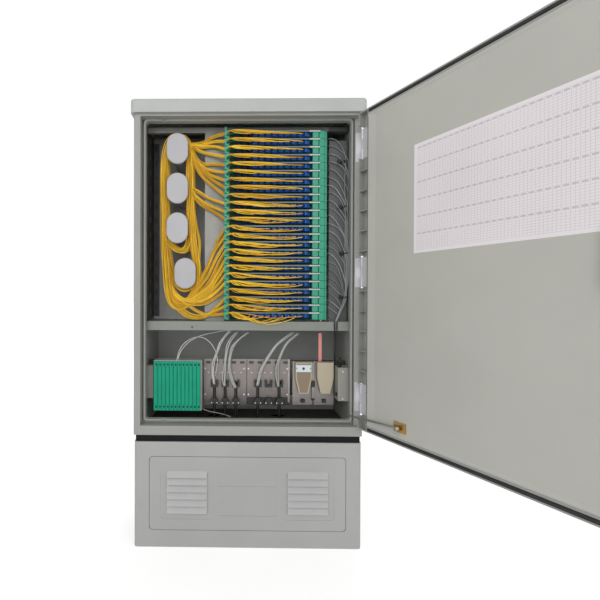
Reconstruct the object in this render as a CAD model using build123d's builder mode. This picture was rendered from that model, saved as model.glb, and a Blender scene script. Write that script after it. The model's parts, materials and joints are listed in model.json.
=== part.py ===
"""Floor-standing optical distribution cabinet with swing-out splice trays, door open. Millimetres."""
import os
from math import cos, radians, sin, sqrt, tan

from build123d import *

os.makedirs("parts", exist_ok=True)

# Enclosure: origin under the middle of the plinth, front towards -Y
cabinet_height = 1450
body_width = 742
body_depth = 300
panel_thickness = 22
panel_edge_radius = 6
rear_panel_thickness = 12
rear_field_margin = 70
rear_field_radius = 20
rear_field_depth = 2
floor_thickness = 6
overrun = 2

# Roof cap
roof_side_overhang = 9
roof_end_overhang = 11
roof_height = 45
roof_wall = 6
roof_corner_radius = 14
roof_edge_radius = 9
roof_rim_width = 18

# Plinth and its louvred cover
plinth_side_setback = 3
plinth_end_overhang = 3
plinth_height = 342
plinth_wall = 6
plinth_corner_radius = 12
plinth_inner_radius = 6
foot_flange_width = 45
foot_flange_thickness = 8
head_flange_width = 32
head_flange_thickness = 6
bolt_hole_radius = 7
cover_side_margin = 49.5
cover_top_margin = 47
cover_bottom = 55
cover_radius = 12
cover_gap = 1.5
cover_ledge_width = 9
cover_ledge_thickness = 4
louvre_width = 130
louvre_pitch = 23
louvre_slot_height = 6
louvre_hood_height = 10
louvre_hood_depth = 4
louvre_field_from_side = 123.5
louvre_field_margin = 21
louvre_field_rise = 36
louvre_field_drop = 38
field_depth = 1
badge_field_gap = 14
badge_field_height = 47
badge_field_pitch = 96

# Base frame between plinth and body
band_height = 21
band_inset = 5
band_wall = 22

# Door frame: sill, header, gutter and sealing lip
sill_height = 30
header_height = 8
frame_wall = 6
lip_setback = 24
gutter_depth = 14
gutter_side_width = 6
lip_width = 5
lip_radius = 10
lip_bottom_rise = 9

# Door
door_open_angle = 117.4
hinge_axis_inset = 5
hinge_axis_setback = -2
door_edge_from_axis = 5.5
door_outer_from_axis = 3
door_inner_from_axis = 22
door_side_gap = 2.5
door_end_gap = 2
door_skin = 4
door_corner_radius = 8
return_wall = 4
margin_width = 37
margin_rib_pitch = 63
margin_rib_thickness = 2.5
liner_ledge = 4
liner_thickness = 3
liner_end_margin = 20
seal_groove_width = 10
seal_groove_depth = 12
seal_width = 9
seal_proud = 2.5
seal_radius = 3

# Hinges
hinge_length = 95
hinge_height_shares = (0.092, 0.498, 0.907)
knuckle_radius = 4.5
hinge_pin_radius = 2.5
pin_clearance = 0.15
knuckle_gap = 0.5
leaf_thickness = 3
door_leaf_width = 34
hinge_notch_clearance = 4

# Stay
stay_from_axis = 170
stay_proud = 12
stay_bracket_length = 40
stay_bracket_height = 28
stay_bracket_plate = 3
stay_lug_thickness = 4
stay_rod_radius = 3
stay_pin_radius = 2.5
stay_eye_radius = 6
stay_length = 204
stay_drop = 20
stay_end_rise = 20
stay_eye_height = 8
stay_rest_turn = 177.2

# Lock at the free edge
lock_from_edge = 72.5
lock_height_share = 0.49
lock_case_width = 50
lock_case_height = 110
lock_case_depth = 16
lock_case_wall = 2
lock_rod_width = 12
lock_rod_thickness = 5
lock_rod_proud = 3
lock_rod_clearance = 0.4
lock_rod_end_gap = 3
lock_rod_start = 20
lock_spindle_radius = 6
lock_spindle_clearance = 0.4
lock_cam_radius = 15
lock_cam_gap = 1
lock_cam_thickness = 4
handle_length = 110
handle_width = 24
handle_thickness = 11
handle_standoff = 3

# Swing-out trays
tray_pitch = 26.5
tray_gap = 0.6
stack_rise = 6
tray_pivot_from_wall = 97
tray_pivot_setback = 82
tray_front_setback = 70
tray_rear_gap = 38
tray_end_gap = 3
tray_side_setback = 8
tray_floor = 2
tray_lid = 2
tray_wall = 2.5
tray_wall_height = 25
pivot_rod_radius = 4
tray_boss_radius = 15
tray_block_depth = 22
adapter_from_pivot = 42.5
adapter_pitch = 21.7
adapter_angle = 36.9
adapter_inside = 7
adapter_outside = 6
adapter_width = 12.4
adapter_height = 11
adapter_bottom = 8
plug_length = 17
plug_width = 9.2
plug_height = 8
shelf_thickness = 1.5
shelf_depth = 17
end_block_width = 19.5
end_block_from_pivot = 15
strip_height = 5
strip_depth = 18
strip_end_setback = 10
hook_depth = 18
hook_width = 14
hook_bar = 4
hook_arm = 3
strip_gap = 2

# Upper bay steelwork
sheet = 2
lower_bay_height = 367
side_rail_setback = 90
spool_panel_setback = 190
spool_bay_width = 204
strip_plate_setback = 90
strip_plate_width = 64
strip_return = 16
duct_plate_setback = 92
duct_plate_from_pivot = 29
duct_plate_drop = 45
top_rail_height = 14
top_rail_depth = 24
head_rail_height = 18
rail_slot_count = 12
rail_slot_height = 22
rail_slot_width = 14
pivot_collar_radius = 8
seat_gap = 0.3

# Cross beam
beam_height = 30
beam_setback = 50
beam_depth = 60
beam_slot_from_wall = 53
beam_slot_width = 14
beam_slot_depth = 28

# Cord spools
spool_column_share = 0.544
spool_top_drop = 83
spool_pitch = 134
low_spool_share = 0.675
low_spool_rise = 162
spool_core_width = 50
spool_core_height = 80
spool_wall = 3
spool_cap_width = 73
spool_cap_height = 104
spool_cap_thickness = 7
spool_setback = 55
spool_cap_edge = 2

# Patch cord hank and fans
hank_clearance = 0.3
hank_band = 24
hank_setback = 84
hank_depth = 34
fan_depth = 14
fan_margin = 4
fan_end_shares = (0, 1 / 3, 1 / 2, 1)
fan_root_height_shares = (0.888, 0.688, 0.175)
fan_root_spread_shares = (0.039, 0.039, 0.15)
fan_root_across_shares = (0.706, 0.706, 0.868)

# Pigtail tubes, each holding the tails of four trays
pigtail_count = 6
pigtail_radius = 2.2
pigtail_pitch = 5
pigtail_wall_gap = 5

# Lower bay
lower_rail_size = 20
lower_rail_setback = 122
low_rail_rise = 84
high_rail_rise = 204
cassette_count = 12
cassette_pitch = 13.2
cassette_thickness = 11.6
cassette_height = 166
cassette_depth = 56
cassette_notch_width = 16
cassette_notch_depth = 18
cassette_from_wall = 33
cassette_rise = 64
cassette_gap = 0.4
plate_box_gap = 3.6
plate_fanout_gap = 17
plate_height = 163
plate_rise = 67
plate_slot_count = 5
plate_slot_width = 16
plate_slot_height = 9
plate_slot_drop = 12
clamp_width = 15
clamp_depth = 14
clamp_height = 18
upper_clamp_rise = 143
lower_clamp_rise = 71
clamp_place_shares = (-0.25, 0, 0.25)
spare_clamp_share = 0
feeder_radius = 5
feeder_clearance = 0.3
entry_radius = 25
entry_span = 240
entry_setback = 210
fanout_top_width = 56
fanout_bottom_width = 32
fanout_height = 108
fanout_rise = 115
fanout_depth = 30
fanout_from_wall = 77
fanout_pitch = 75
fanout_count = 2
fanout_wall = 2
earth_bar_from_wall = 91
earth_bar_width = 11
earth_bar_thickness = 4
earth_bar_end_gap = 14
side_box_width = 43
side_box_depth = 55
side_box_setback = 55
side_box_rise = 100
side_box_height = 112
side_box_radius = 4
side_plate_width = 25
side_plate_depth = 30
tube_radius = 2.5

# Loose tubes above the feeders: shares across the bay, forward by a cassette's depth, and up to the beam
feeder_tube_shares = (
    ((-0.33, 0.11, 0.27), (-0.30, 0.12, 0.53), (-0.22, 0.14, 0.77), (-0.18, 0.11, 0.98)),
    ((-0.22, 0.11, 0.26), (-0.21, 0.04, 0.51), (-0.16, 0.05, 0.75), (-0.13, 0.05, 0.98)),
    ((-0.11, 0.11, 0.17), (-0.15, 0.29, 0.38), (-0.12, 0.32, 0.61), (-0.02, 0.11, 0.86)),
    ((0.11, 0.11, 0.17), (0.18, 0.36, 0.40), (0.32, 0.43, 0.62), (0.49, 0.14, 0.81)),
    ((0.33, 0.11, 0.23), (0.37, 0.07, 0.46), (0.45, 0.05, 0.66), (0.57, 0.07, 0.83)),
)
cassette_tube_shares = (
    (-0.705, 0.54, 0.3755),
    (-0.705, 0.54, 0.58),
    (-0.64, 0.46, 0.77),
    (-0.52, 0.29, 0.88),
    (-0.40, 0.11, 0.96),
)

# Heights and faces worked out from the sizes above
body_bottom = plinth_height + band_height
body_top = cabinet_height - roof_height
body_front = -body_depth / 2
body_rear = body_depth / 2
roof_width = body_width + 2 * roof_side_overhang
roof_depth = body_depth + 2 * roof_end_overhang
plinth_width = body_width - 2 * plinth_side_setback
plinth_depth = body_depth + 2 * plinth_end_overhang
cover_width = plinth_width - 2 * cover_side_margin
cover_height = plinth_height - cover_bottom - cover_top_margin
inner_half_width = body_width / 2 - panel_thickness
rear_wall = body_rear - rear_panel_thickness
sill_top = body_bottom + sill_height
header_bottom = body_top - header_height
lip_front = body_front + lip_setback
gutter_floor = lip_front + gutter_depth
frame_rear = gutter_floor + frame_wall
opening_half_width = inner_half_width - gutter_side_width - lip_width
opening_bottom = sill_top + lip_bottom_rise + lip_width
opening_top = header_bottom - frame_wall
opening_width = 2 * opening_half_width
opening_height = opening_top - opening_bottom
opening_middle = (opening_top + opening_bottom) / 2

# The door's own frame: along the door from the hinge, up, and towards the inside
hinge_x = body_width / 2 - hinge_axis_inset
hinge_y = body_front + hinge_axis_setback
swing = radians(door_open_angle)
along_door = (-cos(swing), -sin(swing), 0)
into_door = (-sin(swing), cos(swing), 0)
door_plane = Plane(origin=(hinge_x, hinge_y, 0), x_dir=along_door, z_dir=into_door)
door_far = hinge_x + inner_half_width - door_side_gap
lock_from_axis = door_far - lock_from_edge
door_bottom = sill_top + door_end_gap
door_top = header_bottom - door_end_gap
door_width = door_far - door_edge_from_axis
door_height = door_top - door_bottom
door_middle = (door_top + door_bottom) / 2
door_center = (door_far + door_edge_from_axis) / 2
skin_inside = door_skin - door_outer_from_axis
margin_start = door_edge_from_axis + return_wall
liner_start = margin_start + margin_width
liner_end = door_far - liner_end_margin
liner_bottom = door_bottom + liner_end_margin
liner_top = door_top - liner_end_margin
hinge_heights = [door_bottom + share * door_height for share in hinge_height_shares]
knuckle_length = hinge_length / 3

# Upper bay: as many trays as fit between the cross beam and the top rail
bay_bottom = body_bottom + lower_bay_height
bay_top = header_bottom
stack_bottom = bay_bottom + stack_rise
tray_count = int((bay_top - top_rail_height - stack_bottom) / tray_pitch)
stack_height = tray_count * tray_pitch
stack_top = stack_bottom + stack_height
side_rail_front = body_front + side_rail_setback
spool_panel_y = body_front + spool_panel_setback
spool_front = body_front + spool_setback
step_x = spool_bay_width - inner_half_width
strip_plate_y = body_front + strip_plate_setback
strip_plate_right = step_x + strip_plate_width
hank_front = body_front + hank_setback
beam_front = body_front + beam_setback
beam_slot_x = inner_half_width - beam_slot_from_wall
tray_pivot_x = inner_half_width - tray_pivot_from_wall
tray_pivot_y = body_front + tray_pivot_setback
tray_reach = tray_pivot_x - strip_plate_right - tray_end_gap
tray_height = tray_pitch - tray_gap
tray_front = body_front + tray_front_setback
tray_rear = rear_wall - tray_rear_gap
tray_right = tray_pivot_x - tray_side_setback
strip_right = tray_pivot_x - strip_end_setback
duct_plate_y = body_front + duct_plate_setback
duct_plate_left = tray_pivot_x + duct_plate_from_pivot
pigtail_start_x = duct_plate_left + sheet
pigtail_last_x = inner_half_width - pigtail_wall_gap

# Lower bay: cassettes at the left, fan-outs at the right, and two equal plates in the room between them
lower_rail_y = body_front + lower_rail_setback
plate_front = lower_rail_y - sheet
low_rail_bottom = body_bottom + low_rail_rise
high_rail_bottom = body_bottom + high_rail_rise
cassette_left = cassette_from_wall - inner_half_width
cassette_bottom = body_bottom + cassette_rise
cassette_top = cassette_bottom + cassette_height
box_left = cassette_left - cassette_gap - sheet
box_right = cassette_left + cassette_count * cassette_pitch + sheet
box_bottom = cassette_bottom - cassette_gap - sheet
box_top = cassette_top + cassette_gap + sheet
fanout_first_x = inner_half_width - fanout_from_wall - fanout_pitch * (fanout_count - 1)
fanout_bottom = body_bottom + fanout_rise
plate_left = box_right + plate_box_gap
plate_right = fanout_first_x - fanout_top_width / 2 - plate_fanout_gap
plate_width = (plate_right - plate_left - sheet) / 2
plate_bottom = body_bottom + plate_rise
plate_middles = (plate_left + plate_width / 2, plate_right - plate_width / 2)
upper_clamp_z = body_bottom + upper_clamp_rise
lower_clamp_z = body_bottom + lower_clamp_rise
entry_y = body_front + entry_setback
earth_bar_x = inner_half_width - earth_bar_from_wall
earth_bar_top = bay_bottom - beam_height - earth_bar_end_gap
side_box_front = body_front + side_box_setback
side_box_bottom = body_bottom + side_box_rise


def facing(y):
    """Front-facing plane at depth y: local x is X, local y is Z, normal towards -Y."""
    return Plane.XZ.offset(-y)


def rectangle(left, right, bottom, top, mode=Mode.ADD):
    """Rectangle between two corners of the current sketch."""
    with Locations(((left + right) / 2, (bottom + top) / 2)):
        Rectangle(right - left, top - bottom, mode=mode)


def soft_rectangle(left, right, bottom, top, radius, mode=Mode.ADD):
    """Rectangle with round corners between two corners of the current sketch."""
    with Locations(((left + right) / 2, (bottom + top) / 2)):
        RectangleRounded(right - left, top - bottom, radius, mode=mode)


def bend_radii(points):
    """Largest fair bend at each corner of a route: 0.45 of its shorter run over the half-turn's tangent."""
    bend_share = 0.45
    vectors = [Vector(*point) for point in points]
    radii = []
    for before, corner, after in zip(vectors, vectors[1:], vectors[2:]):
        turn = radians((corner - before).get_angle(after - corner))
        run = min((corner - before).length, (after - corner).length)
        radii.append(bend_share * run / tan(turn / 2))
    return radii


# Plinth: open shell with inward foot and head flanges and a framed window at the front
window_middle = cover_bottom + cover_height / 2
plinth_front = -plinth_depth / 2
plinth_inner_width = plinth_width - 2 * plinth_wall
plinth_inner_depth = plinth_depth - 2 * plinth_wall
with BuildPart() as plinth:
    with BuildSketch():
        RectangleRounded(plinth_width, plinth_depth, plinth_corner_radius)
        RectangleRounded(plinth_inner_width, plinth_inner_depth, plinth_inner_radius, mode=Mode.SUBTRACT)
    extrude(amount=plinth_height)
    with BuildSketch():
        Rectangle(plinth_inner_width, plinth_inner_depth)
        Rectangle(
            plinth_inner_width - 2 * foot_flange_width,
            plinth_inner_depth - 2 * foot_flange_width,
            mode=Mode.SUBTRACT,
        )
        with GridLocations(
            plinth_inner_width - foot_flange_width, plinth_inner_depth - foot_flange_width, 2, 2
        ):
            Circle(bolt_hole_radius, mode=Mode.SUBTRACT)
    extrude(amount=foot_flange_thickness)
    with BuildSketch(Plane.XY.offset(plinth_height - head_flange_thickness)):
        Rectangle(plinth_inner_width, plinth_inner_depth)
        Rectangle(
            plinth_inner_width - 2 * head_flange_width,
            plinth_inner_depth - 2 * head_flange_width,
            mode=Mode.SUBTRACT,
        )
    extrude(amount=head_flange_thickness)
    with BuildSketch(facing(plinth_front)):
        with Locations((0, window_middle)):
            RectangleRounded(cover_width, cover_height, cover_radius)
    extrude(amount=-plinth_wall, mode=Mode.SUBTRACT)
    with BuildSketch(facing(plinth_front + plinth_wall)):
        with Locations((0, window_middle)):
            RectangleRounded(
                cover_width + 2 * cover_ledge_width, cover_height + 2 * cover_ledge_width, cover_radius
            )
            RectangleRounded(
                cover_width - 2 * cover_ledge_width,
                cover_height - 2 * cover_ledge_width,
                cover_radius,
                mode=Mode.SUBTRACT,
            )
    extrude(amount=-cover_ledge_thickness)
plinth.part.label = "plinth"
export_step(plinth.part, "parts/plinth.step")

# Plinth cover: two louvre fields with hooded slots, and two shallow fields between them
louvre_field_offset = cover_width / 2 - louvre_field_from_side
louvre_field_height = cover_height - louvre_field_rise - louvre_field_drop
louvre_middle = cover_bottom + louvre_field_rise + louvre_field_height / 2
louvre_count = int((louvre_field_height - louvre_pitch) / louvre_pitch)
louvre_field_inner = louvre_field_offset - louvre_width / 2 - louvre_field_margin
badge_field_width = 2 * (louvre_field_inner - badge_field_gap)
louvre_first = louvre_middle - louvre_pitch * (louvre_count - 1) / 2
with BuildPart() as plinth_cover:
    with BuildSketch(facing(plinth_front)):
        with Locations((0, window_middle)):
            RectangleRounded(cover_width - 2 * cover_gap, cover_height - 2 * cover_gap, cover_radius)
    extrude(amount=-plinth_wall)
    with BuildSketch(facing(plinth_front)):
        with Locations((-louvre_field_offset, louvre_middle), (louvre_field_offset, louvre_middle)):
            RectangleRounded(louvre_width + 2 * louvre_field_margin, louvre_field_height, cover_radius)
        with Locations((0, louvre_middle)):
            with GridLocations(badge_field_pitch, badge_field_pitch, 1, 2):
                Rectangle(badge_field_width, badge_field_height)
    extrude(amount=-field_depth, mode=Mode.SUBTRACT)
    with BuildSketch(facing(plinth_front)):
        for side in (-1, 1):
            with Locations((side * louvre_field_offset, louvre_middle)):
                with GridLocations(louvre_width, louvre_pitch, 1, louvre_count):
                    Rectangle(louvre_width, louvre_slot_height)
    extrude(amount=-plinth_wall, mode=Mode.SUBTRACT)
    for side in (-1, 1):
        for slat in range(louvre_count):
            slot_top = louvre_first + slat * louvre_pitch + louvre_slot_height / 2
            with BuildSketch(Plane.YZ.offset(side * louvre_field_offset - louvre_width / 2)):
                with BuildLine():
                    Polyline(
                        (plinth_front + field_depth, slot_top + louvre_hood_height),
                        (plinth_front + field_depth, slot_top),
                        (plinth_front - louvre_hood_depth, slot_top - louvre_slot_height / 2),
                        close=True,
                    )
                make_face()
            extrude(amount=louvre_width)
plinth_cover.part.label = "plinth_cover"
export_step(plinth_cover.part, "parts/plinth_cover.step")

# Base frame: dark ring, set in from the plinth
band_width = plinth_width - 2 * band_inset
band_depth = plinth_depth - 2 * band_inset
with BuildPart() as base_frame:
    with BuildSketch(Plane.XY.offset(plinth_height)):
        Rectangle(band_width, band_depth)
        Rectangle(band_width - 2 * band_wall, band_depth - 2 * band_wall, mode=Mode.SUBTRACT)
    extrude(amount=band_height)
base_frame.part.label = "base_frame"
export_step(base_frame.part, "parts/base_frame.step")

# Side panels: double-skinned walls with round outer edges
with BuildPart() as left_side_panel:
    with BuildSketch(Plane.XY.offset(body_bottom)) as left_plan:
        rectangle(-body_width / 2, -inner_half_width, body_front, body_rear)
        fillet(left_plan.vertices().group_by(Axis.X)[0], panel_edge_radius)
    extrude(amount=body_top - body_bottom)
left_side_panel.part.label = "left_side_panel"
export_step(left_side_panel.part, "parts/left_side_panel.step")

# The right panel steps back beside the door to leave room for the hinges
with BuildPart() as right_side_panel:
    with BuildSketch(Plane.XY.offset(body_bottom)) as right_plan:
        rectangle(inner_half_width, body_width / 2, body_front, body_rear)
        fillet(right_plan.vertices().group_by(Axis.X)[-1], panel_edge_radius)
    extrude(amount=body_top - body_bottom)
    with BuildSketch(facing(body_front - overrun)):
        rectangle(inner_half_width - overrun, body_width / 2 + overrun, sill_top, header_bottom)
    extrude(amount=-lip_setback - overrun, mode=Mode.SUBTRACT)
right_side_panel.part.label = "right_side_panel"
export_step(right_side_panel.part, "parts/right_side_panel.step")

# Rear panel with one shallow pressed field
body_middle = (body_top + body_bottom) / 2
with BuildPart() as rear_panel:
    with BuildSketch(facing(rear_wall)):
        with Locations((0, body_middle)):
            Rectangle(2 * inner_half_width, body_top - body_bottom)
    extrude(amount=-rear_panel_thickness)
    with BuildSketch(facing(body_rear)):
        with Locations((0, body_middle)):
            RectangleRounded(
                2 * (inner_half_width - rear_field_margin),
                body_top - body_bottom - 2 * rear_field_margin,
                rear_field_radius,
            )
    extrude(amount=rear_field_depth, mode=Mode.SUBTRACT)
rear_panel.part.label = "rear_panel"
export_step(rear_panel.part, "parts/rear_panel.step")

# Floor panel with a hole for each feeder cable and two spare entries
spare_clamp_x = plate_middles[1] + spare_clamp_share * plate_width
upper_clamp_x = [middle + share * plate_width for middle in plate_middles for share in clamp_place_shares]
feeder_x = [x for x in upper_clamp_x if x != spare_clamp_x]
feeder_y = lower_rail_y - sheet - feeder_radius - feeder_clearance
with BuildPart() as floor_panel:
    with BuildSketch(Plane.XY.offset(body_bottom)):
        rectangle(-inner_half_width, inner_half_width, frame_rear, rear_wall)
        with Locations(*[(x, feeder_y) for x in feeder_x]):
            Circle(feeder_radius + feeder_clearance, mode=Mode.SUBTRACT)
        with Locations((0, entry_y)):
            with GridLocations(entry_span, entry_span, 2, 1):
                Circle(entry_radius, mode=Mode.SUBTRACT)
    extrude(amount=floor_thickness)
floor_panel.part.label = "floor_panel"
export_step(floor_panel.part, "parts/floor_panel.step")

# Door frame: sill, header, gutter floor and a sealing lip round the opening
lock_x = hinge_x - lock_from_axis
rod_inside = door_inner_from_axis + lock_rod_proud
rod_slot_width = lock_rod_width + 2 * lock_rod_clearance + overrun
with BuildPart() as door_frame:
    with BuildSketch(facing(gutter_floor)):
        rectangle(-inner_half_width, inner_half_width, body_bottom, body_top)
        with Locations((0, opening_middle)):
            RectangleRounded(opening_width, opening_height, lip_radius, mode=Mode.SUBTRACT)
    extrude(amount=-frame_wall)
    with BuildSketch(facing(frame_rear)):
        soft_rectangle(
            -opening_half_width - lip_width,
            opening_half_width + lip_width,
            opening_bottom - lip_width,
            header_bottom,
            lip_radius,
        )
        with Locations((0, opening_middle)):
            RectangleRounded(opening_width, opening_height, lip_radius, mode=Mode.SUBTRACT)
    extrude(amount=frame_rear - lip_front)
    with BuildSketch(Plane.YZ.offset(-inner_half_width)):
        rectangle(body_front, frame_rear, sill_top - frame_wall, sill_top)
        rectangle(body_front, body_front + frame_wall, body_bottom, sill_top)
        rectangle(body_front, frame_rear, header_bottom, body_top)
    extrude(amount=2 * inner_half_width)
    with BuildSketch(facing(lip_front - overrun)):
        rectangle(
            lock_x - rod_slot_width / 2, lock_x + rod_slot_width / 2, opening_top - overrun, header_bottom
        )
        rectangle(
            lock_x - rod_slot_width / 2,
            lock_x + rod_slot_width / 2,
            opening_bottom - lip_width,
            opening_bottom + overrun,
        )
    extrude(amount=lip_front - hinge_y - rod_inside - lock_rod_thickness - 2 * overrun, mode=Mode.SUBTRACT)
door_frame.part.label = "door_frame"
export_step(door_frame.part, "parts/door_frame.step")

# Roof cap: shallow moulded lid with round edges and an inward rim that rests on the body
with BuildPart() as roof_cap:
    with BuildSketch(Plane.XY.offset(body_top)):
        RectangleRounded(roof_width, roof_depth, roof_corner_radius)
    extrude(amount=roof_height)
    fillet(roof_cap.faces().sort_by(Axis.Z)[-1].edges(), radius=roof_edge_radius)
    with BuildSketch(Plane.XY.offset(body_top + roof_wall)):
        Rectangle(roof_width - 2 * roof_rim_width, roof_depth - 2 * roof_rim_width)
    extrude(amount=roof_height - 2 * roof_wall, mode=Mode.SUBTRACT)
    with BuildSketch(Plane.XY.offset(body_top)):
        Rectangle(roof_width - 2 * roof_rim_width, roof_depth - 2 * roof_rim_width)
    extrude(amount=roof_wall, mode=Mode.SUBTRACT)
roof_cap.part.label = "roof_cap"
export_step(roof_cap.part, "parts/roof_cap.step")

# Hinge frame leaves: a plate on the stepped-back side panel, a web to two outer knuckles, and the pin
web_right = hinge_x + knuckle_radius
with BuildPart() as hinge_frame_leaves:
    for height in hinge_heights:
        low = height - hinge_length / 2
        with BuildSketch(Plane.XY.offset(low)):
            rectangle(inner_half_width + door_end_gap, web_right, lip_front - leaf_thickness, lip_front)
        extrude(amount=hinge_length)
        for start in (low, height + knuckle_length / 2):
            with BuildSketch(Plane.XY.offset(start)):
                with Locations((hinge_x, hinge_y)):
                    Circle(knuckle_radius)
                rectangle(web_right - leaf_thickness, web_right, hinge_y, lip_front)
            extrude(amount=knuckle_length)
        with BuildSketch(Plane.XY.offset(low)):
            with Locations((hinge_x, hinge_y)):
                Circle(hinge_pin_radius)
        extrude(amount=hinge_length)
hinge_frame_leaves.part.label = "hinge_frame_leaves"
export_step(hinge_frame_leaves.part, "parts/hinge_frame_leaves.step")

# Door shell: one moulding with a ribbed hinge margin, a pocket behind the liner and a seal groove
pocket_left = liner_start + liner_ledge
pocket_right = liner_end - liner_ledge
pocket_bottom = liner_bottom + liner_ledge
pocket_top = liner_top - liner_ledge
groove_bottom = door_bottom + return_wall
groove_top = door_top - return_wall
groove_far = door_far - return_wall
lock_z = door_bottom + lock_height_share * door_height
with BuildPart() as door_shell:
    with BuildSketch(door_plane.offset(-door_outer_from_axis)):
        soft_rectangle(door_edge_from_axis, door_far, door_bottom, door_top, door_corner_radius)
    extrude(amount=door_outer_from_axis + door_inner_from_axis)
    with BuildSketch(door_plane.offset(skin_inside)):
        rectangle(pocket_left, pocket_right, pocket_bottom, pocket_top)
        rectangle(margin_start, liner_start - return_wall, groove_bottom, groove_top)
    extrude(amount=door_inner_from_axis - skin_inside, mode=Mode.SUBTRACT)
    with BuildSketch(door_plane.offset(door_inner_from_axis - liner_thickness)):
        rectangle(liner_start, liner_end, liner_bottom, liner_top)
    extrude(amount=liner_thickness, mode=Mode.SUBTRACT)
    with BuildSketch(door_plane.offset(door_inner_from_axis - seal_groove_depth)):
        rectangle(liner_start, groove_far, groove_bottom, groove_bottom + seal_groove_width)
        rectangle(liner_start, groove_far, groove_top - seal_groove_width, groove_top)
        rectangle(groove_far - seal_groove_width, groove_far, groove_bottom, groove_top)
    extrude(amount=seal_groove_depth, mode=Mode.SUBTRACT)
    rib_count = int((groove_top - groove_bottom) / margin_rib_pitch)
    with BuildSketch(door_plane.offset(skin_inside)):
        with Locations(((margin_start + liner_start - return_wall) / 2, door_middle)):
            with GridLocations(margin_rib_pitch, margin_rib_pitch, 1, rib_count):
                Rectangle(margin_width - return_wall, margin_rib_thickness)
    extrude(amount=door_inner_from_axis - skin_inside)
    notch_half = hinge_length / 2 + hinge_notch_clearance
    with BuildSketch(door_plane.offset(skin_inside)):
        for height in hinge_heights:
            rectangle(
                door_edge_from_axis - overrun,
                door_edge_from_axis + door_leaf_width,
                height - notch_half,
                height + notch_half,
            )
    extrude(amount=door_inner_from_axis - skin_inside + overrun, mode=Mode.SUBTRACT)
    with BuildSketch(door_plane.offset(-door_outer_from_axis - overrun)):
        with Locations((lock_from_axis, lock_z)):
            Circle(lock_spindle_radius + lock_spindle_clearance)
    extrude(amount=door_skin + 2 * overrun, mode=Mode.SUBTRACT)
door_shell.part.label = "door_shell"
export_step(door_shell.part, "parts/door_shell.step")

# Door liner: flat inner plate on the ledge of the shell
with BuildPart() as door_liner:
    with BuildSketch(door_plane.offset(door_inner_from_axis - liner_thickness)):
        rectangle(liner_start, liner_end, liner_bottom, liner_top)
        with Locations((lock_from_axis, lock_z)):
            Circle(lock_spindle_radius + lock_spindle_clearance, mode=Mode.SUBTRACT)
    extrude(amount=liner_thickness)
door_liner.part.label = "door_liner"
export_step(door_liner.part, "parts/door_liner.step")

# Door seal: one rubber strip along the bottom, the free edge and the top
seal_side = (seal_groove_width - seal_width) / 2
with BuildPart() as door_seal:
    with BuildSketch(door_plane.offset(door_inner_from_axis - seal_groove_depth)):
        rectangle(
            liner_start + seal_side, groove_far - seal_side, groove_bottom + seal_side, groove_top - seal_side
        )
        rectangle(
            liner_start,
            groove_far - seal_side - seal_width,
            groove_bottom + seal_side + seal_width,
            groove_top - seal_side - seal_width,
            mode=Mode.SUBTRACT,
        )
    extrude(amount=seal_groove_depth + seal_proud)
    seal_face = door_seal.faces().sort_by(Axis((0, 0, 0), into_door))[-1]
    fillet(seal_face.edges().filter_by(GeomType.LINE), seal_radius)
door_seal.part.label = "door_seal"
export_step(door_seal.part, "parts/door_seal.step")

# Hinge door leaves: a plate on the floor of the ribbed margin and the middle knuckle
with BuildPart() as hinge_door_leaves:
    for height in hinge_heights:
        with BuildSketch(door_plane.offset(skin_inside)):
            rectangle(
                door_edge_from_axis,
                door_edge_from_axis + door_leaf_width,
                height - hinge_length / 2,
                height + hinge_length / 2,
            )
            rectangle(
                0,
                door_edge_from_axis,
                height - knuckle_length / 2 + knuckle_gap,
                height + knuckle_length / 2 - knuckle_gap,
            )
        extrude(amount=leaf_thickness)
        with BuildSketch(Plane.XY.offset(height - knuckle_length / 2 + knuckle_gap)):
            with Locations((hinge_x, hinge_y)):
                Circle(knuckle_radius)
        extrude(amount=knuckle_length - 2 * knuckle_gap)
        with BuildSketch(Plane.XY.offset(height - knuckle_length / 2)):
            with Locations((hinge_x, hinge_y)):
                Circle(hinge_pin_radius + pin_clearance)
        extrude(amount=knuckle_length, mode=Mode.SUBTRACT)
hinge_door_leaves.part.label = "hinge_door_leaves"
export_step(hinge_door_leaves.part, "parts/hinge_door_leaves.step")

# Stay bracket: brass plate on the liner with a lug and an upright pin
stay_axis_from = door_inner_from_axis + stay_proud
stay_end_z = opening_bottom + stay_end_rise
stay_z = stay_end_z + stay_drop
eye_bottom = stay_z - stay_eye_height / 2
lug_top = eye_bottom - seat_gap
stay_pivot = door_plane.from_local_coords((stay_from_axis, stay_z, stay_axis_from))
with BuildPart() as stay_bracket:
    with BuildSketch(door_plane.offset(door_inner_from_axis)):
        with Locations((stay_from_axis, stay_z)):
            Rectangle(stay_bracket_length, stay_bracket_height)
    extrude(amount=stay_bracket_plate)
    with BuildSketch(door_plane.offset(door_inner_from_axis)):
        rectangle(
            stay_from_axis - stay_eye_radius,
            stay_from_axis + stay_eye_radius,
            lug_top - stay_lug_thickness,
            lug_top,
        )
    extrude(amount=stay_proud + stay_eye_radius)
    with BuildSketch(Plane.XY.offset(lug_top - stay_lug_thickness)):
        with Locations((stay_pivot.X, stay_pivot.Y)):
            Circle(stay_pin_radius)
    extrude(amount=stay_lug_thickness + seat_gap + stay_eye_height)
stay_bracket.part.label = "stay_bracket"
export_step(stay_bracket.part, "parts/stay_bracket.step")

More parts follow.
